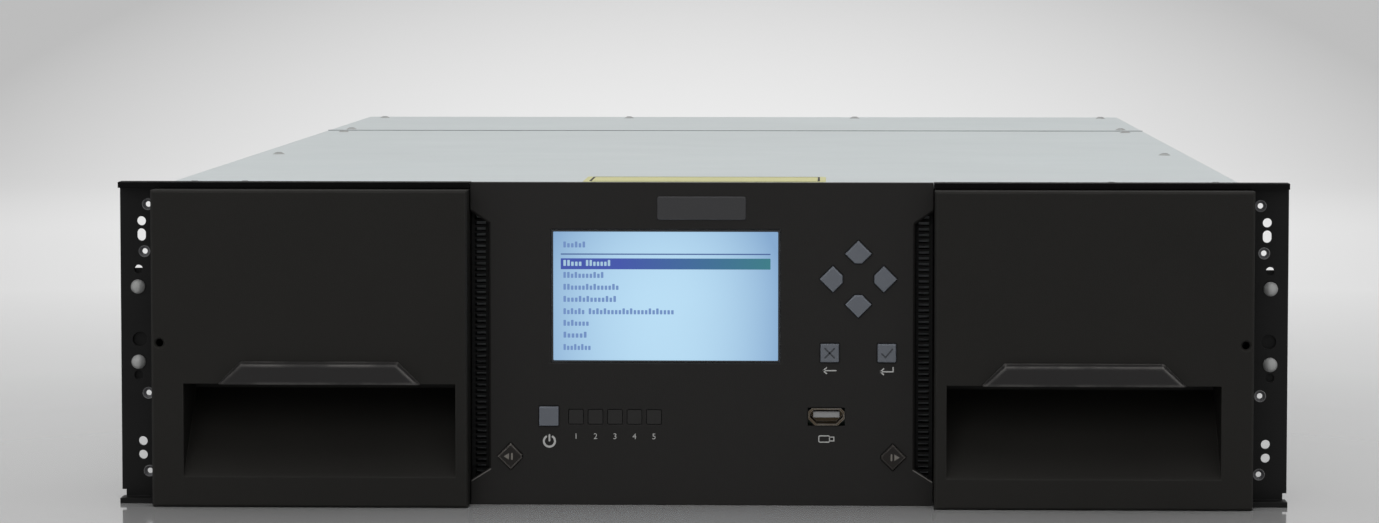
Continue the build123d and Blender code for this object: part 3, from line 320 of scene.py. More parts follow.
def raise_grain(tree, given, out, height, broad, rise):
    """The two results that grain and rolled lines share: the normal of a height over rounded
    edges, and the roughness plus the variation times a broad noise about its middle."""
    inputs = {"Height": height, "Strength": given["Depth"], "Distance": rise}
    inputs["Normal"] = rounded_normal(tree, given["Edge Radius"])
    bump = add_node(tree, "ShaderNodeBump", inputs)
    level = math_node(tree, "SUBTRACT", broad, 0.5)
    moved = math_node(
        tree, "MULTIPLY_ADD", level, given["Variation"], given["Roughness"], clamp=True
    )
    tree.links.new(bump.outputs["Normal"], out["Normal"])
    tree.links.new(moved, out["Roughness"])


def vary_colour(tree, given, out, value, low, high):
    """The given colour times one less the amount where a value is low, and times one plus the
    amount where it is high."""
    dark = math_node(tree, "SUBTRACT", 1.0, given["Amount"])
    light = math_node(tree, "ADD", 1.0, given["Amount"])
    inputs = {0: given["Colour"], "Scale": spread(tree, value, low, high, dark, light)}
    tree.links.new(vector_math(tree, "SCALE", inputs), out["Colour"])


def new_group(name, inputs, outputs):
    """An empty shader group with its sockets named, and its two end nodes."""
    tree = bpy.data.node_groups.new(name, "ShaderNodeTree")
    for label, default in inputs.items():
        kind = "NodeSocketFloat"
        if isinstance(default, tuple):
            kind = "NodeSocketColor" if len(default) == 4 else "NodeSocketVector"
        tree.interface.new_socket(label, in_out="INPUT", socket_type=kind).default_value = default
    for label, kind in outputs.items():
        tree.interface.new_socket(label, in_out="OUTPUT", socket_type=f"NodeSocket{kind}")
    return tree, tree.nodes.new("NodeGroupInput").outputs, tree.nodes.new("NodeGroupOutput").inputs


def make_grain_group():
    """Fine grain of a moulding or coat, with its edges rounded. The noise is the bump's height,
    and a broad noise moves the roughness up and down."""
    tree, given, out = new_group(
        "Fine Grain",
        {"Scale": 1500.0, "Depth": 0.2, "Roughness": 0.5, "Variation": 0.1,
         "Edge Radius": 0.4 * MM},
        {"Normal": "Vector", "Roughness": "Float"},
    )
    place = object_place(tree)
    fine = noise(tree, place, given["Scale"], 3.0, 0.6)
    raise_grain(tree, given, out, fine, noise(tree, place, 22.0, 4.0), 0.2 * MM)
    return tree


def make_line_group():
    """Long fine lines of rolled or brushed metal: noise stretched along one direction."""
    tree, given, out = new_group(
        "Rolled Lines",
        {"Stretch": (900.0, 6.0, 900.0), "Depth": 0.1, "Roughness": 0.4, "Variation": 0.2,
         "Edge Radius": 0.3 * MM},
        {"Normal": "Vector", "Roughness": "Float"},
    )
    lines = noise(tree, object_place(tree, given["Stretch"]), 1.0, 3.0, 0.65)
    raise_grain(tree, given, out, lines, lines, 0.1 * MM)
    return tree


def make_tone_group():
    """Broad unevenness of a colour: it is scaled by one, plus or minus the amount times a noise."""
    tree, given, out = new_group(
        "Surface Tone",
        {"Colour": (0.5, 0.5, 0.5, 1.0), "Amount": 0.1, "Scale": 9.0},
        {"Colour": "Color"},
    )
    cloud = noise(tree, object_place(tree), given["Scale"], 5.0)
    vary_colour(tree, given, out, cloud, 0.3, 0.7)
    return tree


def make_wear_group():
    """Scuffed edges, and painted edge highlights on the hood and the grey keys: where a rounded
    normal leaves the flat one, in broken patches, the edge colour comes through."""
    tree, given, out = new_group(
        "Edge Wear and Highlight",
        {"Colour": (0.1, 0.1, 0.1, 1.0), "Worn Colour": (0.4, 0.4, 0.4, 1.0),
         "Radius": 0.6 * MM, "Amount": 0.5},
        {"Colour": "Color"},
    )
    normals = {
        0: rounded_normal(tree, given["Radius"]),
        1: add_node(tree, "ShaderNodeNewGeometry").outputs["True Normal"],
    }
    along = vector_math(tree, "DOT_PRODUCT", normals, "Value")
    patches = spread(tree, noise(tree, object_place(tree), 70.0, 4.0), 0.35, 0.6, 0.25, 1.0)
    mask = math_node(tree, "MULTIPLY", spread(tree, along, 0.995, 0.85), patches)
    mask = math_node(tree, "MULTIPLY", mask, given["Amount"], clamp=True)
    tree.links.new(mix(tree, mask, given["Colour"], given["Worn Colour"]), out["Colour"])
    return tree


def make_dust_group():
    """Dust that settles on what faces up: the height of the normal times a soft noise."""
    tree, given, out = new_group(
        "Settled Dust",
        {"Colour": (0.1, 0.1, 0.1, 1.0), "Dust Colour": (0.35, 0.34, 0.32, 1.0), "Amount": 0.1},
        {"Colour": "Color"},
    )
    normal = add_node(tree, "ShaderNodeNewGeometry").outputs["Normal"]
    up = spread(tree, parts_of(tree, normal)["Z"], 0.4, 1.0)
    cloud = spread(tree, noise(tree, object_place(tree), 30.0, 5.0), 0.3, 0.7, 0.4, 1.0)
    mask = math_node(tree, "MULTIPLY", up, cloud)
    mask = math_node(tree, "MULTIPLY", mask, given["Amount"], clamp=True)
    tree.links.new(mix(tree, mask, given["Colour"], given["Dust Colour"]), out["Colour"])
    return tree


def make_spangle_group():
    """The crystal patches of zinc-coated sheet: each Voronoi cell has its own brightness."""
    tree, given, out = new_group(
        "Zinc Spangle",
        {"Colour": (0.4, 0.4, 0.4, 1.0), "Scale": 130.0, "Amount": 0.06},
        {"Colour": "Color"},
    )
    inputs = {"Vector": object_place(tree), "Scale": given["Scale"]}
    cells = add_node(tree, "ShaderNodeTexVoronoi", inputs).outputs["Color"]
    vary_colour(tree, given, out, parts_of(tree, cells)["X"], 0.0, 1.0)
    return tree


EFFECTS = {
    "Fine Grain": make_grain_group,
    "Rolled Lines": make_line_group,
    "Surface Tone": make_tone_group,
    "Edge Wear and Highlight": make_wear_group,
    "Settled Dust": make_dust_group,
    "Zinc Spangle": make_spangle_group,
}


def effect(tree, name, **values):
    """The outputs of a shared effect placed in a material, with its inputs set or linked.
    Underscores in a socket's name stand for spaces."""
    made = tree.nodes.new("ShaderNodeGroup")
    made.node_tree = bpy.data.node_groups.get(name) or EFFECTS[name]()
    for label, value in values.items():
        set_input(tree, made.inputs[label.replace("_", " ")], value)
    return made.outputs


def opaque(linear):
    """A colour with its alpha."""
    return (*linear, 1.0)


def new_material(name):
    """A new material's node tree and its Principled shader."""
    material = bpy.data.materials.new(name)
    material.use_nodes = True
    return material, material.node_tree, material.node_tree.nodes["Principled BSDF"]


def set_shader(shader, **values):
    """Constants set on the shader's own sockets. Underscores stand for spaces."""
    for label, value in values.items():
        shader.inputs[label.replace("_", " ")].default_value = value


def add_relief(tree, shader, name, **values):
    """A shared grain or line effect, led to the shader's normal and roughness."""
    made = effect(tree, name, **values)
    for label in ("Normal", "Roughness"):
        tree.links.new(made[label], shader.inputs[label])


def moulded(name, hue, roughness=0.55, scale=1900.0, depth=0.28, tone=0.06, worn_and_lit=(90, 90, 88),
            wear_and_highlight=0.25, dust=0.05, edge=0.5, specular=0.5, coat=0.0):
    """A moulding or a coat: uneven tone, lighter edges, a little dust and a fine grain. The lighter
    edges are scuffing on most finishes and painted highlights on the hood and the grey keys. The
    radius of its edges is in millimetres."""
    material, tree, shader = new_material(name)
    base = effect(tree, "Surface Tone", Colour=opaque(hue), Amount=tone, Scale=12.0)["Colour"]
    rubbed_and_lit = effect(
        tree, "Edge Wear and Highlight", Colour=base, Worn_Colour=opaque(seen(*worn_and_lit)), Amount=wear_and_highlight,
        Radius=edge * MM,
    )["Colour"]
    dusty = effect(tree, "Settled Dust", Colour=rubbed_and_lit, Amount=dust)["Colour"]
    tree.links.new(dusty, shader.inputs["Base Color"])
    add_relief(tree, shader, "Fine Grain", Scale=scale, Depth=depth, Roughness=roughness,
               Variation=0.16, Edge_Radius=edge * MM)
    set_shader(shader, Specular_IOR_Level=specular, Coat_Weight=coat, Coat_Roughness=0.12)
    return material


def rolled(name, hue, roughness=0.36, stretch=(900.0, 8.0, 900.0), depth=0.12, metallic=1.0,
           spangle=0.0, wear_and_highlight=0.3):
    """A metal with long fine lines, and the patches of zinc where it has them."""
    material, tree, shader = new_material(name)
    base = effect(tree, "Surface Tone", Colour=opaque(hue), Amount=0.05, Scale=16.0)["Colour"]
    if spangle:
        base = effect(tree, "Zinc Spangle", Colour=base, Amount=spangle)["Colour"]
    bare = opaque(seen(210, 210, 208))
    rubbed_and_lit = effect(tree, "Edge Wear and Highlight", Colour=base, Worn_Colour=bare, Amount=wear_and_highlight)["Colour"]
    tree.links.new(rubbed_and_lit, shader.inputs["Base Color"])
    add_relief(tree, shader, "Rolled Lines", Stretch=stretch, Depth=depth, Roughness=roughness,
               Variation=0.24)
    set_shader(shader, Metallic=metallic)
    return material


def speckled(name, hue, specks, roughness=0.6, scale=3000.0, metallic=0.0):
    """A finish with small specks, such as sintered bronze, paper or print."""
    material, tree, shader = new_material(name)
    dots = spread(tree, noise(tree, object_place(tree), scale, 2.0, 0.7), 0.55, 0.67)
    both = mix(tree, dots, opaque(hue), opaque(seen(*specks)))
    base = effect(tree, "Surface Tone", Colour=both, Amount=0.04)["Colour"]
    tree.links.new(base, shader.inputs["Base Color"])
    add_relief(tree, shader, "Fine Grain", Scale=scale, Depth=0.2, Roughness=roughness,
               Variation=0.12, Edge_Radius=0.2 * MM)
    set_shader(shader, Metallic=metallic)
    return material


def board_finish(name, hue):
    """Solder mask over copper: a brick pattern stands for the runs of the traces."""
    material, tree, shader = new_material(name)
    upright = {"Vector": object_place(tree), "Rotation": (radians(90), 0, 0)}
    inputs = {
        "Vector": add_node(tree, "ShaderNodeMapping", upright).outputs["Vector"],
        "Color1": opaque(hue),
        "Color2": opaque(np.array(hue) * 0.9),
        "Mortar": opaque(np.array(hue) * 1.5),
        "Scale": 90.0,
        "Mortar Size": 0.03,
    }
    bricks = add_node(tree, "ShaderNodeTexBrick", inputs, offset=0.3).outputs["Color"]
    base = effect(tree, "Surface Tone", Colour=bricks, Amount=0.08, Scale=30.0)["Colour"]
    tree.links.new(base, shader.inputs["Base Color"])
    add_relief(tree, shader, "Fine Grain", Scale=700.0, Depth=0.08, Roughness=0.32,
               Variation=0.1, Edge_Radius=0.2 * MM)
    set_shader(shader, Coat_Weight=0.4, Coat_Roughness=0.2)
    return material


def lit_finish(name, hue, fade=None, strength=1.0):
    """A lit surface behind clear plastic: one colour, or a fade, is given out over a dark satin
    base."""
    material, tree, shader = new_material(name)
    glow = fade(tree) if fade else opaque(hue)
    lit = effect(tree, "Surface Tone", Colour=glow, Amount=0.012, Scale=20.0)["Colour"]
    tree.links.new(lit, shader.inputs["Emission Color"])
    add_relief(tree, shader, "Fine Grain", Scale=2600.0, Depth=0.03, Roughness=0.3,
               Variation=0.06, Edge_Radius=0.1 * MM)
    set_shader(shader, Base_Color=(0.004, 0.005, 0.007, 1.0), Emission_Strength=strength,
               Specular_IOR_Level=0.25)
    return material


def screen_fade(tree):
    """The screen's glow: full in the middle, less with the square of the distance across and up."""
    low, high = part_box("screen_window")
    axes = parts_of(tree, object_place(tree))
    x, z = low.x + 0.5 * (high.x - low.x), low.z + 0.44 * (high.z - low.z)
    lost = 0.0
    for axis, start, end, loss in (
        ("X", x, low.x, 0.85), ("X", x, high.x, 0.95), ("Z", z, high.z, 0.55), ("Z", z, low.z, 0.2),
    ):
        away = spread(tree, axes[axis], start, end, 0.0, loss)
        lost = math_node(tree, "MULTIPLY_ADD", away, away, lost, clamp=True)
    return mix(tree, lost, opaque(colours().screen_middle), opaque(colours().screen_edge))


def bar_fade(tree):
    """The menu bar's colour: it runs from its left end's to its right end's along X."""
    low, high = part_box("screen_window")
    across = parts_of(tree, object_place(tree))["X"]
    along = spread(tree, across, low.x + 0.3 * (high.x - low.x), high.x)
    return mix(tree, along, opaque(colours().bar_left), opaque(colours().bar_right))


def backdrop_paper():
    """Pale paper with a painted pool of light: lighter in the middle, darker far out. It mirrors
    the library only close to it. Further off it gives out part of its own colour to the camera and
    to reflections, and from behind it can't be seen."""
    material, tree, shader = new_material("Backdrop paper")
    place = object_place(tree)
    axes = parts_of(tree, place)

    # How far a place lies from the middle of the painted pool of light, with each direction on its
    # own scale
    sides = {
        "X": math_node(tree, "MULTIPLY_ADD", axes["Y"], 0.032, axes["X"]),
        "Y": math_node(tree, "MULTIPLY_ADD", axes["Y"], 0.36, -0.76),
        "Z": math_node(tree, "MULTIPLY", axes["Z"], 2.5),
    }
    away = add_node(tree, "ShaderNodeCombineXYZ", sides).outputs["Vector"]
    away = math_node(tree, "POWER", vector_math(tree, "LENGTH", {0: away}, "Value"), 2.0)
    # Painted pool of light: the paper's colour is pale in the middle and darker far out
    hue = mix(tree, spread(tree, away, 0.0, 0.8), opaque(stage().backdrop),
              opaque(stage().backdrop_edge))

    # The lit share grows with the distance from the library, and only seen rays meet it
    apart = vector_math(tree, "LENGTH", {0: place}, "Value")
    rays = add_node(tree, "ShaderNodeLightPath").outputs
    seen_rays = math_node(tree, "MAXIMUM", rays["Is Camera Ray"], rays["Is Glossy Ray"])
    seen_rays = math_node(tree, "MAXIMUM", seen_rays, rays["Is Transmission Ray"])
    lit = math_node(tree, "MULTIPLY", spread(tree, apart, 0.6, 2.0, 0.0, 0.8), seen_rays)
    black = (0.0, 0.0, 0.0, 1.0)
    grain = effect(tree, "Fine Grain", Scale=400.0, Depth=0.02, Roughness=0.16, Variation=0.05,
                   Edge_Radius=0.0)
    for label, value in {
        "Base Color": mix(tree, lit, hue, black),
        "Emission Color": mix(tree, lit, black, hue),
        "Roughness": grain["Roughness"],
        "Coat Weight": spread(tree, apart, 0.5, 1.3, 1.0, 0.0),
        "Metallic": spread(tree, apart, 0.28, 0.7, 0.45, 0.0),
    }.items():
        tree.links.new(value, shader.inputs[label])
    set_shader(shader, Emission_Strength=1.0, Specular_IOR_Level=0.0, Coat_Roughness=0.05)
    behind = add_node(tree, "ShaderNodeNewGeometry").outputs["Backfacing"]
    clear = add_node(tree, "ShaderNodeBsdfTransparent").outputs["BSDF"]
    both = add_node(tree, "ShaderNodeMixShader", {0: behind, 1: shader.outputs["BSDF"], 2: clear})
    tree.links.new(both.outputs["Shader"], tree.nodes["Material Output"].inputs["Surface"])
    return material


# How each finish is made: its function, its colour, and what differs from the usual values
FINISHES = {
    "Lid coat": (moulded, "lid", dict(
        roughness=0.42, scale=2400.0, depth=0.1, tone=0.02, worn_and_lit=(228, 231, 231), wear_and_highlight=0.5,
        dust=0.03, edge=0.4)),
    "Zinc sheet": (rolled, "zinc", dict(roughness=0.42, spangle=0.07, metallic=0.55)),
    "Black coat": (moulded, "ear", dict(
        roughness=0.5, scale=2600.0, depth=0.35, tone=0.08, worn_and_lit=(70, 70, 69), wear_and_highlight=0.4,
        dust=0.01, edge=0.4, specular=0.25)),
    "Door moulding": (moulded, "door", dict(
        scale=2300.0, depth=0.32, tone=0.07, worn_and_lit=(62, 61, 58), wear_and_highlight=0.5, dust=0.008, edge=0.8,
        specular=0.22)),
    "Panel moulding": (moulded, "panel", dict(
        scale=2300.0, depth=0.3, tone=0.05, worn_and_lit=(60, 59, 58), wear_and_highlight=0.5, dust=0.01, edge=0.6,
        specular=0.22)),
    # Painted highlight strips on the panel's cut corners
    "Panel edge highlight": (moulded, "panel_edge", dict(
        roughness=0.5, scale=2300.0, depth=0.2, tone=0.05, worn_and_lit=(120, 118, 115), wear_and_highlight=0.5,
        dust=0.01, edge=0.3, specular=0.3)),
    "Vent moulding": (moulded, "vent", dict(
        roughness=0.6, scale=2300.0, depth=0.3, tone=0.05, worn_and_lit=(30, 30, 30), wear_and_highlight=0.3,
        dust=0.005, edge=0.4, specular=0.1)),
    # The strips' black coat made darker than the ears', partly painted shade under the lid's edge
    "Shaded strip coat": (moulded, "strip", dict(
        scale=2600.0, depth=0.35, tone=0.08, worn_and_lit=(40, 40, 40), wear_and_highlight=0.3, dust=0.002, edge=0.4,
        specular=0.1)),
    "Countersink": (rolled, "countersink", dict(roughness=0.5, metallic=0.3, wear_and_highlight=0.5)),
    # Hood: its lighter tone is partly painted light, and its wide light edges at full amount are
    # painted highlights on its bevels
    "Lit hood moulding": (moulded, "hood", dict(
        roughness=0.5, scale=2300.0, tone=0.05, worn_and_lit=(112, 110, 108), wear_and_highlight=1.2, dust=0.02,
        edge=2.0, specular=0.25)),
    # Grey keys: the light edge colour at nearly full amount is a painted highlight along the key
    # edges
    "Grey key": (moulded, "key", dict(
        roughness=0.45, scale=3000.0, depth=0.14, tone=0.04, worn_and_lit=(138, 144, 154), wear_and_highlight=0.95,
        dust=0.03, edge=0.6, specular=0.35)),
    # Release keys: the edge colour at full amount outlines every edge in a thin lighter line
    "Release key": (moulded, "release_key", dict(
        roughness=0.42, scale=2600.0, depth=0.2, worn_and_lit=(140, 136, 131), wear_and_highlight=1.0, dust=0.01,
        edge=0.8, specular=0.25)),
    "Status window": (moulded, "lens", dict(
        roughness=0.2, scale=900.0, depth=0.05, tone=0.05, worn_and_lit=(34, 34, 36), wear_and_highlight=0.3,
        dust=0.005, edge=0.3, specular=0.25, coat=0.15)),
    "Screen border": (moulded, "glass", dict(
        roughness=0.12, scale=500.0, depth=0.03, tone=0.03, worn_and_lit=(60, 70, 84), wear_and_highlight=0.8,
        dust=0.0, edge=0.3, coat=0.5)),
    "Blank badge": (moulded, "badge", dict(
        roughness=0.38, scale=2600.0, depth=0.1, tone=0.03, worn_and_lit=(104, 104, 108), wear_and_highlight=0.8,
        dust=0.03, coat=0.15)),
    "Bright steel": (rolled, "steel", dict(
        roughness=0.45, stretch=(700.0, 700.0, 60.0), depth=0.08, metallic=0.45)),
    "Port shell": (rolled, "shell", dict(
        roughness=0.3, stretch=(60.0, 900.0, 900.0), depth=0.1, wear_and_highlight=0.7)),
    "Aluminium": (rolled, "aluminium", dict(
        roughness=0.34, stretch=(12.0, 1100.0, 1100.0), depth=0.14)),
    "Gold contacts": (rolled, "gold", dict(
        roughness=0.25, stretch=(1200.0, 80.0, 1200.0), depth=0.05)),
    "Contact tongue": (moulded, "tongue", dict(
        roughness=0.5, scale=2200.0, depth=0.1, tone=0.03)),
    "Inner moulding": (moulded, "frame", dict(scale=1700.0, depth=0.25)),
    "Cartridge shell": (moulded, "cartridge", dict(
        roughness=0.5, scale=2200.0, depth=0.3, worn_and_lit=(98, 104, 122), wear_and_highlight=0.5, edge=0.6,
        specular=0.4)),
    "Write tab": (moulded, "write_tab", dict(
        roughness=0.45, scale=2400.0, depth=0.12, tone=0.04)),
    "Socket": (moulded, "socket", dict(roughness=0.6, scale=1500.0, depth=0.2, tone=0.05)),
    # A dark strip of painted shade in the lid's seam
    "Seam shade strip": (moulded, "seam", dict(roughness=0.6, scale=1800.0, depth=0.2, tone=0.05)),
    "Bronze bush": (speckled, "bronze", dict(
        specks=(120, 84, 44), roughness=0.4, scale=2400.0, metallic=1.0)),
    "Paper label": (speckled, "paper", dict(
        specks=(196, 196, 188), roughness=0.75, scale=1800.0)),
    "Lid label": (speckled, "label", dict(
        specks=(196, 190, 112), roughness=0.45, scale=1500.0)),
    "Printed legend": (speckled, "legend", dict(specks=(158, 158, 156))),
    "Key legend": (speckled, "key_legend", dict(specks=(48, 50, 55))),
    "Release legend": (speckled, "release_legend", dict(specks=(96, 92, 88))),
    "Dark print": (speckled, "dark_print", dict(specks=(30, 30, 32))),
    "Circuit board": (board_finish, "board", {}),
    "Lit screen": (lit_finish, "screen_middle", dict(fade=screen_fade)),
    "Menu bar": (lit_finish, "bar_left", dict(fade=bar_fade)),
    "Menu letters": (lit_finish, "menu_text", {}),
    "Menu rule": (lit_finish, "rule", {}),
    "Bar letters": (lit_finish, "screen_middle", dict(strength=0.8)),
    "Ready light": (lit_finish, "ready_light", dict(strength=0.7)),
}


def make_finish(name):
    """The material of one finish, made on its first use."""
    found = bpy.data.materials.get(name)
    if found:
        return found
    maker, hue, values = FINISHES[name]
    return maker(name, getattr(colours(), hue), **values)


# Shapes


def polar(centre, radius, angle):
    """Points about a centre: the radius times the cosine and the sine of each angle."""
    return np.stack([centre[0] + radius * np.cos(angle), centre[1] + radius * np.sin(angle)], 1)


def circle(centre, radius, count=24, start=0.0, turn=2 * pi):
    """Points of a circle or an arc, at even angles."""
    whole = abs(turn) >= 2 * pi
    return polar(centre, radius, start + turn * np.linspace(0, 1, count, endpoint=not whole))


def rounded(centre, width, height, radius, inset=0.0, count=6):
    """A rectangle with round corners: at each corner, the corner's centre plus a quarter circle."""
    half = np.array((width, height)) / 2 - radius
    corners = np.repeat(np.array([(1, 1), (-1, 1), (-1, -1), (1, -1)]) * half, count, 0)
    angle = (np.arange(4)[:, None] * pi / 2 + np.linspace(0, pi / 2, count)[None]).ravel()
    return corners + polar(centre, radius - inset, angle)


def lobed(centre, radius, lobes):
    """A lobed socket: the radius times one plus a depth times the cosine of lobes angles."""
    depth = 0.16
    angle = np.linspace(0, 2 * pi, 48, endpoint=False)
    return polar(centre, radius * (1 + depth * np.cos(lobes * angle)), angle)


def left_normals(steps):
    """The unit normal to the left of each step of a path."""
    normals = np.stack([-steps[:, 1], steps[:, 0]], 1)
    return normals / np.linalg.norm(normals, axis=1)[:, None]


def mean_normals(before, after):
    """The normals half way between two steps, so long that a line keeps its width: their sum
    over one plus their product."""
    return (before + after) / (1 + (before * after).sum(1))[:, None]


def stroke(path, width):
    """Outline of a line of even width with round ends: the path moved half a width to each side
    along the mean normal of its neighbours, with half a circle at each end."""
    path = np.array(path, float)
    normals = left_normals(np.diff(path, axis=0))
    before, after = np.vstack([normals[:1], normals]), np.vstack([normals, normals[-1:]])
    side = mean_normals(before, after) * width / 2
    end, start = (
        circle(point, width / 2, 7, np.arctan2(normal[1], normal[0]), -pi)[1:-1]
        for point, normal in ((path[-1], normals[-1]), (path[0], -normals[0]))
    )
    return np.vstack([path + side, end, (path - side)[::-1], start])[::-1]


def laid(places, side, level):
    """Places given across, up and outwards, laid on one side of the library: its level, plus
    each coordinate times its direction."""
    directions = np.array(SIDES[side], float)
    return abs(directions[2]) * level + places @ directions


def stacked(stacks, side, level):
    """Vertices and faces of closed shapes that stand on one side of the library. A shape is a
    stack of outlines, each at its own height. Faces join each outline to the next, and close
    the first and the last."""
    places, faces, first = [], [], 0
    for rings in stacks:
        count = len(rings[0][0])
        turn = np.arange(count)
        ahead = (turn + 1) % count
        places += [np.insert(outline, 2, height, axis=1) for outline, height in rings]
        for ring in range(len(rings) - 1):
            low, high = first + ring * count, first + (ring + 1) * count
            faces += np.stack([low + turn, low + ahead, high + ahead, high + turn], 1).tolist()
        faces.append((first + turn[::-1]).tolist())
        first += len(rings) * count
        faces.append((first - count + turn).tolist())
    return laid(np.vstack(places), side, level), faces


def add_piece(name, shape, finish, body, smooth=True):
    """A piece with its finish, on the body that carries it."""
    points, faces = shape
    mesh = bpy.data.meshes.new(name)
    mesh.from_pydata(points.tolist(), [], faces)
    mesh.polygons.foreach_set("use_smooth", [smooth] * len(faces))
    if smooth:
        mesh.set_sharp_from_angle(angle=radians(35))
    mesh.validate()
    piece = bpy.data.objects.new(name, mesh)
    bpy.context.scene.collection.objects.link(piece)
    mesh.materials.append(make_finish(finish))
    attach(piece, body)
    return piece


def printed(outlines, side, level, height=None):
    """Printed marks: each outline stands up by the print height."""
    rise = sizes().print_height if height is None else height
    return stacked([[(outline, -rise / 2), (outline, rise)] for outline in outlines], side, level)


def plate(centre, width, height, corner, thickness, bevel):
    """The rings of a rounded plate: full size up to its bevel, then drawn in by it."""
    full, drawn = (rounded(centre, width, height, corner, inset) for inset in (0.0, bevel))
    return [(full, 0.0), (full, thickness - bevel), (drawn, thickness)]


def ring_faces(count, corners):
    """Faces of a ring: a section of so many corners, carried round so many places."""
    row, column = (grid.ravel() for grid in np.mgrid[:count, :corners])
    ahead, beyond = (row + 1) % count, (column + 1) % corners
    faces = [row * corners + column, ahead * corners + column,
             ahead * corners + beyond, row * corners + beyond]
    return np.stack(faces, 1).tolist()


def hoop(profile, centre, side, level):
    """Vertices and faces of a closed ring: its profile of radii and heights, which runs
    anticlockwise, turned about an axis that stands on one side of the library. A place is the
    centre plus the radius times the cosine and sine of the angle, at the profile's height."""
    angle = np.linspace(0, 2 * pi, 24, endpoint=False)[:, None]
    radius, height = profile.T
    across, up = centre[0] + radius * np.cos(angle), centre[1] + radius * np.sin(angle)
    places = np.stack([across, up, np.broadcast_to(height, across.shape)], -1)
    return laid(places.reshape(-1, 3), side, level), ring_faces(len(angle), len(profile))


def band(path, width, side, level):
    """Vertices and faces of a printed line of even width along a closed path that runs
    anticlockwise. At each place its section has four corners: half the width to each side
    along the mean normal of the neighbours, at half the rise below and the whole rise above."""
    before = left_normals(path - np.roll(path, 1, 0))
    mean = mean_normals(before, np.roll(before, -1, 0))
    low, high = -sizes().print_height / 2, sizes().print_height
    section = np.array([(1, low), (-1, low), (-1, high), (1, high)])
    flat = path[:, None] + mean[:, None] * section[:, :1] * width / 2
    heights = np.broadcast_to(section[:, 1:], (*flat.shape[:2], 1))
    places = np.concatenate([flat, heights], -1).reshape(-1, 3)
    return laid(places, side, level), ring_faces(len(path), len(section))


def joined(shapes):
    """Several shapes in one: each one's faces are counted on from the vertices before it."""
    starts = np.cumsum([0] + [len(points) for points, faces in shapes])
    faces = [
        (np.array(face) + start).tolist()
        for start, (points, own) in zip(starts, shapes) for face in own
    ]
    return np.vstack([points for points, faces in shapes]), faces


def letter_blocks(start, z, lengths, number):
    """Outlines of a row of words made of plain blocks, one for each letter's place. Most are as
    high as a small letter, and those whose count leaves 1 or 4 of 7 are two fifths higher."""
    size = sizes()
    tall, width_share, middle_share, corner = 0.4 * size.letter_height, 0.66, 0.42, 0.2 * MM
    outlines = []
    for reach in lengths:
        count = max(2, round(reach / size.letter_pitch))
        pitch = reach / count
        steps = np.arange(count)
        extra = np.isin((5 * steps + 3 * number) % 7, (1, 4)) * tall
        extra[0] = tall
        centres = np.stack([start + (steps + middle_share) * pitch, z + extra / 2], 1)
        outlines += [
            rounded(place, width_share * pitch, size.letter_height + more, corner, count=3)
            for place, more in zip(centres, extra)
        ]
        start += reach + size.word_gap
    return outlines


def turned(profile, centre):
    """The rings of a turned shape: one circle for each radius and height of its profile."""
    return [(circle(centre, radius, 20), height) for radius, height in profile]


def numerals(name, marks, size, side, level, finish, body):
    """Plain numerals in one mesh, made from text and laid on one side of the library."""
    shapes = []
    for numeral, (across, up) in marks:
        curve = bpy.data.curves.new(name, "FONT")
        curve.body = numeral
        curve.size = size
        curve.align_x = "CENTER"
        curve.align_y = "CENTER"
        curve.extrude = sizes().print_height
        curve.resolution_u = 4
        text = bpy.data.objects.new(name, curve)
        bpy.context.scene.collection.objects.link(text)
        bpy.context.view_layer.update()
        mesh = bpy.data.meshes.new_from_object(text)
        flat = np.empty(len(mesh.vertices) * 3)
        mesh.vertices.foreach_get("co", flat)
        points = laid(flat.reshape(-1, 3) + (across, up, 0), side, level)
        shapes.append((points, [tuple(face.vertices) for face in mesh.polygons]))
        bpy.data.objects.remove(text)
        bpy.data.meshes.remove(mesh)
        bpy.data.curves.remove(curve)
    return add_piece(name, joined(shapes), finish, body, smooth=False)


def middle(node):
    """The middle of a CAD node's box."""
    low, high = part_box(node)
    return (low + high) / 2


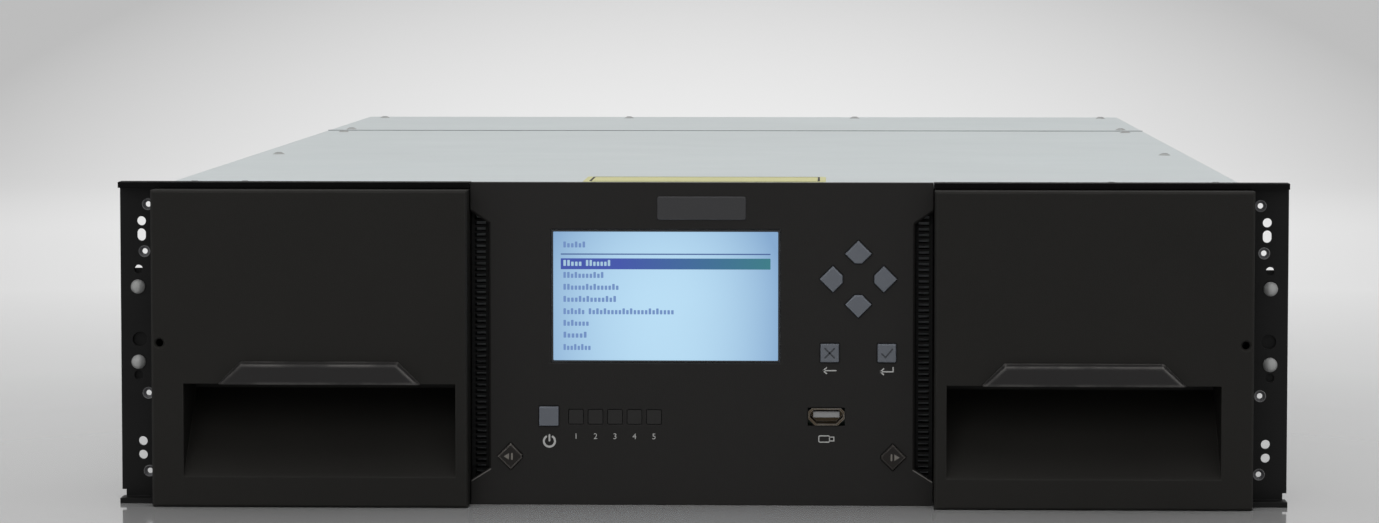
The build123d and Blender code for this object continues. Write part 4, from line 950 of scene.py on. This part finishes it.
def cad_finishes():
    """The finish of every CAD node, from the nodes that share each finish."""
    sheets = ("base_pan", "rear_panel", "front_bulkhead", "bay_frame", "controller_module")
    keys = ("up", "down", "left", "right", "back", "enter", "power")
    shared = {
        "Lid coat": ("front_cover", "rear_cover", "left_side_panel", "right_side_panel"),
        "Zinc sheet": (
            *sheets, *(f"drive_sled_{number}" for number in DRIVES),
            *(f"tape_drive_{number}" for number in DRIVES),
            *(f"power_supply_{number}" for number in SUPPLIES),
        ),
        "Bright steel": ("fasteners", "lift_posts", "controller_ports"),
        "Black coat": (
            *(f"{hand}_rack_ear" for hand in HANDS),
            *(f"power_inlet_{number}" for number in SUPPLIES),
        ),
        "Inner moulding": (
            "magazine_guides", "picker_cradle", *(f"{hand}_magazine_frame" for hand in HANDS),
            *(f"supply_fan_{number}" for number in SUPPLIES),
        ),
        "Aluminium": (
            "display_module", "robot_rails", "robot_carriage", "lift_platform", "turntable",
            "gripper",
        ),
        "Shaded strip coat": ("top_strips",),
        "Panel moulding": ("centre_panel",),
        "Vent moulding": ("vent_grilles",),
        "Screen border": ("screen_window",),
        "Circuit board": ("control_board",),
        "Status window": ("status_lenses",),
        "Port shell": ("usb_shell",),
        "Contact tongue": ("usb_tongue",),
        "Bronze bush": ("lift_bushes",),
        "Grey key": [f"{name}_key" for name in keys],
        "Door moulding": [f"{hand}_magazine_door" for hand in HANDS],
        "Lit hood moulding": [f"{hand}_handle_hood" for hand in HANDS],
        "Cartridge shell": [f"{hand}_cartridges" for hand in HANDS],
        "Release key": [f"{hand}_release_key" for hand in HANDS],
    }
    return {name: finish for finish, names in shared.items() for name in names}


def power_symbol(x, z, width):
    """A ring open at the top, with a bar in the opening."""
    radius, foot, top = 2.3 * MM, 0.2 * MM, 2.6 * MM
    ring = circle((x, z), radius, 25, radians(125), radians(290))
    return [stroke(ring, 1.4 * width), stroke([(x, z + foot), (x, z + top)], 1.2 * width)]


def arrow(x, z, path, width):
    """An arrow along a path in millimetres, with its head at the path's end."""
    tail = np.array(path) * MM + (x, z)
    head = np.array([(1.3, 1.2), (0, 0), (1.3, -1.2)]) * MM + tail[-1]
    return [stroke(tail, width), stroke(head, width)]


def ready_lights(name, places, body, scale=1.0):
    """Small domed lights on the rear face, as radii and heights turned at each place."""
    dome = np.array([(1.5, 0.0), (1.5, 0.35), (1.2, 0.7), (0.6, 0.9)]) * MM * scale
    shape = stacked([turned(dome, place) for place in places], "back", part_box("rear_panel")[1].y)
    add_piece(name, shape, "Ready light", body)


def rear_numerals(name, marks, body):
    """Plain numerals on the rear face."""
    numerals(name, marks, sizes().port_numeral, "back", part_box("rear_panel")[1].y, "Dark print",
             body)


def set_camera(scene):
    """The camera at the place, turn, tilt and focal length of the stage settings."""
    camera = bpy.data.cameras.new("Camera")
    camera.sensor_width = SENSOR_WIDTH
    camera.sensor_fit = "HORIZONTAL"
    camera.lens = SENSOR_WIDTH * stage().focal_pixels / PHOTO_WIDTH
    camera.clip_start = 0.01
    eye = bpy.data.objects.new("Camera", camera)
    eye.location = stage().camera_place
    eye.rotation_euler = (radians(90) - stage().camera_tilt, 0, stage().camera_turn)
    scene.collection.objects.link(eye)
    scene.camera = eye


def lay_floor(scene):
    """Floor that curves up into a wall, and the floor behind the curve, for views from the back.
    Each is a profile of places along Y and up, carried across along X."""
    radius, wall_y, top, reach = 1.6, 4.2, 5.0, 14.0
    foot = wall_y - radius
    bend = polar((foot, radius), radius, np.linspace(-pi / 2, 0, 24))
    profiles = {
        "Backdrop": np.vstack([(-reach, 0.0), bend, (wall_y, top)]),
        "Rear floor": np.array([(foot, 0.0), (reach, 0.0)]),
    }
    across = np.linspace(-reach, reach, 9)
    paper = backdrop_paper()
    for name, profile in profiles.items():
        grid = np.empty((len(profile), len(across), 3))
        grid[..., 0] = across
        grid[..., 1:] = profile[:, None]
        row, column = np.mgrid[: len(profile) - 1, : len(across) - 1]
        corner = (row * len(across) + column).ravel()
        beyond = corner + len(across)
        quads = np.stack([corner, corner + 1, beyond + 1, beyond], 1)
        mesh = bpy.data.meshes.new(name)
        mesh.from_pydata(grid.reshape(-1, 3).tolist(), [], quads.tolist())
        mesh.polygons.foreach_set("use_smooth", [True] * len(quads))
        mesh.materials.append(paper)
        floor = bpy.data.objects.new(name, mesh)
        scene.collection.objects.link(floor)


def hang_lamps(scene):
    """Lamps, which are left out of reflections, and an even world."""
    aim = Vector((0, 0.35, 0.06))
    for name, place, size, power in (
        ("Overhead", (0.15, 0.2, 2.4), 2.4, stage().overhead),
        ("Front", (-0.3, -2.4, 1.4), 1.6, stage().front_lamp),
        ("Rear", (0.2, 3.2, 2.4), 1.6, stage().rim_lamp),
    ):
        lamp = bpy.data.lights.new(name, "AREA")
        lamp.shape = "SQUARE"
        lamp.size = size
        lamp.energy = power
        holder = bpy.data.objects.new(name, lamp)
        holder.visible_glossy = False
        holder.location = place
        holder.rotation_euler = (aim - Vector(place)).to_track_quat("-Z", "Y").to_euler()
        scene.collection.objects.link(holder)
    world = bpy.data.worlds.new("Even light")
    world.use_nodes = True
    sky = world.node_tree.nodes["Background"]
    sky.inputs["Color"].default_value = (1.0, 1.0, 1.0, 1.0)
    sky.inputs["Strength"].default_value = stage().world
    scene.world = world
    scene.view_settings.view_transform = "Standard"


class LIBRARY_OT_finishes(Operator):
    """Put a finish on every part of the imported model"""

    bl_idname = "library.finishes"
    bl_label = "Finishes"

    def execute(self, context):
        finishes = cad_finishes()
        if set(finishes) != set(NODES):
            raise RuntimeError(f"finishes and nodes differ: {sorted(set(finishes) ^ set(NODES))}")
        for name, finish in finishes.items():
            NODES[name].data.materials.clear()
            NODES[name].data.materials.append(make_finish(finish))
        return {"FINISHED"}


class LIBRARY_OT_screen(Operator):
    """Make the lit screen with a plain menu of letter blocks"""

    bl_idname = "library.screen"
    bl_label = "Screen"

    def execute(self, context):
        low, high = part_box("screen_window")
        width, height = high.x - low.x, high.z - low.z
        rise = sizes().print_height
        margin, picture_corner = 1.4 * MM, 0.4 * MM
        rule_height, rule_corner = 0.5 * MM, 0.1 * MM
        bar_height, bar_corner = 4.5 * MM, 0.2 * MM
        centre = ((low.x + high.x) / 2, (low.z + high.z) / 2)
        picture = rounded(centre, width - margin, height - margin, picture_corner)

        # Both ends of the rule and bar and the start of the letters, as shares of the width,
        # and where the rule and the bar stand, as shares of the height
        across_shares, up_shares = (0.0404, 0.9591, 0.0504), (0.8174, 0.744)
        left, right, start = (low.x + share * width for share in across_shares)
        rule_z, bar_z = (low.z + share * height for share in up_shares)

        # Rows of the menu: height as a share of the screen's, words as shares of its width
        row_shares = [
            (0.8835, (0.101,)),
            (0.6530, (0.181,)),
            (0.5630, (0.247,)),
            (0.4716, (0.236,)),
            (0.3780, (0.097, 0.378)),
            (0.2900, (0.116,)),
            (0.2000, (0.107,)),
            (0.1064, (0.124,)),
        ]
        letters = []
        for number, (share, words) in enumerate(row_shares):
            letters += letter_blocks(start, low.z + share * height, np.array(words) * width, number)
        bar_word_shares = np.array((0.085, 0.112))
        bar_letters = letter_blocks(start, bar_z, bar_word_shares * width, 2)
        middle_x, span = (left + right) / 2, right - left
        rule = rounded((middle_x, rule_z), span, rule_height, rule_corner)
        bar = rounded((middle_x, bar_z), span, bar_height, bar_corner)
        for name, outlines, level, finish in (
            ("screen_picture", [picture], low.y, "Lit screen"),
            ("menu_letters", letters, low.y - rise, "Menu letters"),
            ("menu_rule", [rule], low.y - rise, "Menu rule"),
            ("menu_bar", [bar], low.y - rise, "Menu bar"),
            ("menu_bar_letters", bar_letters, low.y - 2 * rise, "Bar letters"),
        ):
            add_piece(name, printed(outlines, "front", level), finish, "chassis")
        return {"FINISHED"}


class LIBRARY_OT_legends(Operator):
    """Print the plain symbols and numerals on the centre panel"""

    bl_idname = "library.legends"
    bl_label = "Panel legends"

    def execute(self, context):
        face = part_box("centre_panel")[0].y
        width = sizes().stroke

        # How far each symbol stands below the middle of its key or port
        power_drop, port_drop, arrow_drop = 10.4 * MM, 9.2 * MM, 7.3 * MM
        power = middle("power_key")
        marks = power_symbol(power.x + 0.2 * MM, power.z - power_drop, width)

        # A memory stick under the port: a body with a smaller plug
        port = middle("usb_shell")
        x, z = port.x, port.z - port_drop
        outline = rounded((x - 0.9 * MM, z), 4.4 * MM, 2.6 * MM, 0.5 * MM)
        body = band(outline, 0.7 * width, "front", face)
        plug = np.array([(1.4, 0.8), (3.1, 0.8), (3.1, -0.8), (1.4, -0.8)]) * MM + (x, z)
        marks.append(stroke(plug, 0.7 * width))

        # An arrow back to the left, and one that turns down and then left
        for name, path in (
            ("back_key", [(2.6, 0), (-2.6, 0)]),
            ("enter_key", [(2.6, 1.4), (2.6, -0.4), (-2.6, -0.4)]),
        ):
            key = middle(name)
            marks += arrow(key.x, key.z - arrow_drop, path, 0.85 * width)
        add_piece("panel_symbols", joined([printed(marks, "front", face), body]),
                  "Printed legend", "chassis")

        # Painted highlights on the panel's cut corners below the vents: light strips where their
        # sloped faces catch light from above
        low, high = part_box("vent_grilles")
        edges = [
            stroke([(way * (high.x - 0.2 * MM), low.z - 0.3 * MM),
                    (way * (high.x - 8.0 * MM), low.z + 4.6 * MM)], 0.5 * MM)
            for way in HANDS.values()
        ]
        add_piece("panel_corner_highlights", printed(edges, "front", face), "Panel edge highlight", "chassis")

        # Numerals under the status windows
        pitch, drop = 8.05 * MM, 4.2 * MM
        x, z = middle("status_lenses").x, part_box("status_lenses")[0].z - drop
        places = [(str(step + 3), (x + step * pitch, z)) for step in range(-2, 3)]
        numerals("window_numerals", places, sizes().numeral, "front", face, "Printed legend",
                 "chassis")
        return {"FINISHED"}


class LIBRARY_OT_key_marks(Operator):
    """Print the marks on the keys"""

    bl_idname = "library.key_marks"
    bl_label = "Key marks"

    def execute(self, context):
        width, scale = sizes().stroke, 1.9 * MM
        cross = [[(-1, 1), (1, -1)], [(1, 1), (-1, -1)]]
        check = [[(-1.1, -0.1), (-0.3, -0.9), (1.2, 0.9)]]
        for name, paths in (("back_key", cross), ("enter_key", check)):
            centre = middle(name)
            place = np.array((centre.x, centre.z))
            marks = [stroke(np.array(path) * scale + place, width) for path in paths]
            add_piece(f"{name}_mark", printed(marks, "front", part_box(name)[0].y), "Key legend",
                      name)

        # An arrow head that points outwards, and a bar behind it
        inset, half_bar = 5.9 * MM, 1.1 * MM
        for hand, way in HANDS.items():
            name = f"{hand}_release_key"
            low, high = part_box(name)
            x, z = (low.x if way < 0 else high.x) - way * inset, (low.z + high.z) / 2
            tip = np.array([(1.9, 0), (-0.3, 1.35), (-0.3, -1.35)]) * (way, 1) * MM + (x, z)
            bar = [(x - way * 1.5 * MM, z + half) for half in (half_bar, -half_bar)]
            marks = [tip[::way], stroke(bar, 1.2 * width)]
            add_piece(f"{name}_mark", printed(marks, "front", low.y), "Release legend", name)
        return {"FINISHED"}


class LIBRARY_OT_blanks(Operator):
    """Fit the blank badge over the screen, the blank label on the lid and a dark strip of painted
    shade in the lid's seam
    """

    bl_idname = "library.blanks"
    bl_label = "Blank badge, label and seam"

    def execute(self, context):
        size = sizes()
        centre = (middle("centre_panel").x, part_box("screen_window")[1].z + size.badge_rise)
        badge = plate(centre, size.badge_width, size.badge_height, 1.0 * MM, 0.5 * MM, 0.3 * MM)
        add_piece("blank_badge", stacked([badge], "front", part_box("centre_panel")[0].y),
                  "Blank badge", "chassis")

        # The blank label, with a thin line inside its edge
        low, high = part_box("front_cover")
        centre = (0.0, low.y + size.label_setback + size.label_depth / 2)
        thickness, border = 0.12 * MM, 6 * MM
        label = plate(centre, size.label_width, size.label_depth, 2.0 * MM, thickness, 0.05 * MM)
        add_piece("blank_lid_label", stacked([label], "top", high.z), "Lid label", "chassis")
        edge = rounded(centre, size.label_width - border, size.label_depth - border, 1.5 * MM)
        add_piece("lid_label_line", band(edge, 0.9 * MM, "top", high.z + thickness),
                  "Dark print", "chassis")

        # A thin darker strip in the seam between the two lids: painted shade for the seam's shadow
        # line
        seam_low, seam_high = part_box("rear_cover")
        centre = (0.0, (seam_low.y + high.y) / 2)
        strip = rounded(centre, seam_high.x - seam_low.x, seam_low.y - high.y, 0.1 * MM)
        shape = stacked([[(strip, -0.3 * MM), (strip, size.seam_rise)]], "top", high.z)
        add_piece("lid_seam_shade_strip", shape, "Seam shade strip", "chassis")
        return {"FINISHED"}


class LIBRARY_OT_screws(Operator):
    """Mark the screws' sockets, line the ears' countersinks and fit the side screws"""

    bl_idname = "library.screws"
    bl_label = "Screws"

    def execute(self, context):
        size = sizes()
        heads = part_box("fasteners")[1].z

        # Places of the lid screws, as shares of half the width and of the length
        screw_shares = [
            (-0.952, 0.017), (-0.857, 0.017), (0.759, 0.017), (0.952, 0.017),
            (-0.952, 0.36), (0.952, 0.36), (-0.952, 0.705), (0.952, 0.705),
            (-0.952, 0.753), (0.952, 0.753), (-0.952, 0.976), (0.952, 0.976),
            (-0.3, 0.976), (0.3, 0.976),
        ]
        low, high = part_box("rear_cover")
        places = np.array(screw_shares) * ((high.x - low.x) / 2, high.y)
        sockets = [lobed(place, size.socket, size.lobes) for place in places]
        add_piece("lid_screw_sockets", printed(sockets, "top", heads), "Socket", "chassis")

        # Bare countersinks of the ears' small holes, as shares of the ears' span and height
        cone = np.array([(2.3, 0.06), (1.15, -1.05), (1.25, -1.14), (2.45, 0.03)]) * MM
        hole_shares = [(0.952, 0.928), (0.9585, 0.7815), (0.9535, 0.3387), (0.9525, 0.0945)]
        for hand, way in HANDS.items():
            places = np.array(hole_shares) * (way * CAD_HIGH.x, CAD_HIGH.z)
            rims = [hoop(cone, place, "front", 0.0) for place in places]
            add_piece(f"{hand}_ear_countersinks", joined(rims), "Countersink", "chassis")

        # Countersunk screws along both sides, low and high
        head = np.array([(3.0, 0.0), (3.0, 0.15), (2.6, 0.55), (1.7, 0.8)]) * MM
        length_shares = np.array((0.16, 0.38, 0.6, 0.82, 0.97))
        margin = 10 * MM
        for hand, way in HANDS.items():
            low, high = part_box(f"{hand}_side_panel")
            level = low.x if way < 0 else high.x
            along = low.y + length_shares * (high.y - low.y)
            places = [(way * y, z) for y in along for z in (margin, high.z - margin)]
            screws = [turned(head, place) for place in places]
            add_piece(f"{hand}_side_screws", stacked(screws, hand, level), "Bright steel",
                      "chassis")
            marks = [lobed(place, size.socket, size.lobes) for place in places]
            add_piece(f"{hand}_side_screw_sockets", printed(marks, hand, level + way * head[-1, 1]),
                      "Socket", "chassis")
        return {"FINISHED"}


class LIBRARY_OT_cartridge_trim(Operator):
    """Stick blank labels on the cartridges and fit their write tabs"""

    bl_idname = "library.cartridge_trim"
    bl_label = "Cartridge trim"

    def execute(self, context):
        columns, rows = 4, 5
        width, height = 105.4 * MM, 21.5 * MM
        recess, tab_y, tab_z = 0.5 * MM, 6.5 * MM, 6 * MM

        # Width, height, corner, thickness and bevel of a label, and of a write tab
        label = (79 * MM, 12.8 * MM, 0.8 * MM, 0.2 * MM, 0.05 * MM)
        tab = (6 * MM, 3.4 * MM, 0.5 * MM, 0.35 * MM, 0.15 * MM)
        for hand, way in HANDS.items():
            low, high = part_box(f"{hand}_cartridges")
            inner, face = ("right", high.x) if way < 0 else ("left", low.x)
            corners = [
                (y, z) for y in np.linspace(low.y, high.y - width, columns)
                for z in np.linspace(low.z, high.z - height, rows)
            ]
            labels = [
                plate((-way * (y + width / 2), z + height / 2), *label) for y, z in corners
            ]
            tabs = [plate((-way * (y + tab_y), z + tab_z), *tab) for y, z in corners]
            add_piece(f"{hand}_cartridge_labels", stacked(labels, inner, face + way * recess),
                      "Paper label", f"{hand}_magazine")
            add_piece(f"{hand}_write_tabs", stacked(tabs, inner, face), "Write tab",
                      f"{hand}_magazine")
        return {"FINISHED"}


class LIBRARY_OT_rear_trim(Operator):
    """Fit the lights, numerals and port contacts of the rear modules"""

    bl_idname = "library.rear_trim"
    bl_label = "Rear trim"

    def execute(self, context):
        for number in DRIVES:
            body = f"drive_{number}"
            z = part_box(f"drive_sled_{number}")[1].z - 5.5 * MM
            ready_lights(f"{body}_lights", [(x * MM, z) for x in (-52, -57, -62)], body)
            rear_numerals(f"{body}_numeral", [(str(number), (62 * MM, z))], body)
        for number in SUPPLIES:
            body = f"power_supply_{number}"
            x, z, away = -middle(body).x, middle(body).z, 20 * MM
            ready_lights(f"supply_{number}_light", [(x, z + away)], body)
            rear_numerals(f"supply_{number}_numeral", [(str(number), (x, z - away))], body)

        # The controller's two ports: contacts in each, lights above and a numeral below
        ports = middle("controller_ports")
        pitch, rise, drop = 18.0 * MM, 8 * MM, 9 * MM
        middles = [(-ports.x - pitch / 2, ports.z), (-ports.x + pitch / 2, ports.z)]
        pin_rise, pin_width, pin_height, pin_corner = 2.9 * MM, 0.5 * MM, 2.0 * MM, 0.1 * MM
        pins = [
            rounded((x + pin * MM, z + pin_rise), pin_width, pin_height, pin_corner)
            for x, z in middles for pin in np.linspace(-3.6, 3.6, 8)
        ]
        depth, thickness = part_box("controller_ports")[0].y + 1.0 * MM, 0.4 * MM
        add_piece("port_contacts", printed(pins, "back", depth, thickness), "Gold contacts",
                  "controller")
        places = [(x + side * MM, z + rise) for x, z in middles for side in (-4, 4)]
        ready_lights("port_lights", places, "controller", 0.8)
        marks = [(numeral, (x, z - drop)) for numeral, (x, z) in zip("21", middles)]
        rear_numerals("port_numerals", marks, "controller")
        return {"FINISHED"}


class LIBRARY_OT_stage(Operator):
    """Set the camera, the pale floor and backdrop, and the lamps"""

    bl_idname = "library.stage"
    bl_label = "Stage"

    def execute(self, context):
        set_camera(context.scene)
        lay_floor(context.scene)
        hang_lamps(context.scene)
        return {"FINISHED"}


OPERATORS = (
    LIBRARY_OT_finishes,
    LIBRARY_OT_screen,
    LIBRARY_OT_legends,
    LIBRARY_OT_key_marks,
    LIBRARY_OT_blanks,
    LIBRARY_OT_screws,
    LIBRARY_OT_cartridge_trim,
    LIBRARY_OT_rear_trim,
    LIBRARY_OT_stage,
)
GROUPS = {
    "library_colours": LibraryColours,
    "library_sizes": LibrarySizes,
    "library_stage": StageSettings,
}


class LIBRARY_PT_panel(Panel):
    """The library's steps and settings"""

    bl_label = "Tape Library"
    bl_idname = "LIBRARY_PT_panel"
    bl_space_type = "VIEW_3D"
    bl_region_type = "UI"
    bl_category = "Tape Library"

    def draw(self, context):
        column = self.layout.column(align=True)
        for step in OPERATORS:
            column.operator(step.bl_idname)
        for name, settings in GROUPS.items():
            box = self.layout.box()
            for label in settings.__annotations__:
                box.prop(getattr(context.scene, name), label)


def register():
    """Register the settings, the steps and the panel."""
    for settings in (*GROUPS.values(), *OPERATORS, LIBRARY_PT_panel):
        bpy.utils.register_class(settings)
    for name, settings in GROUPS.items():
        setattr(bpy.types.Scene, name, PointerProperty(type=settings))


def unregister():
    """Remove them again, in the opposite order."""
    for name in reversed(GROUPS):
        delattr(bpy.types.Scene, name)
    for settings in (LIBRARY_PT_panel, *reversed(OPERATORS), *reversed(GROUPS.values())):
        bpy.utils.unregister_class(settings)


def main():
    """Make the library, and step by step."""
    register()
    for step in OPERATORS:
        section, name = step.bl_idname.split(".")
        getattr(getattr(bpy.ops, section), name)()


if __name__ == "__main__":
    main()
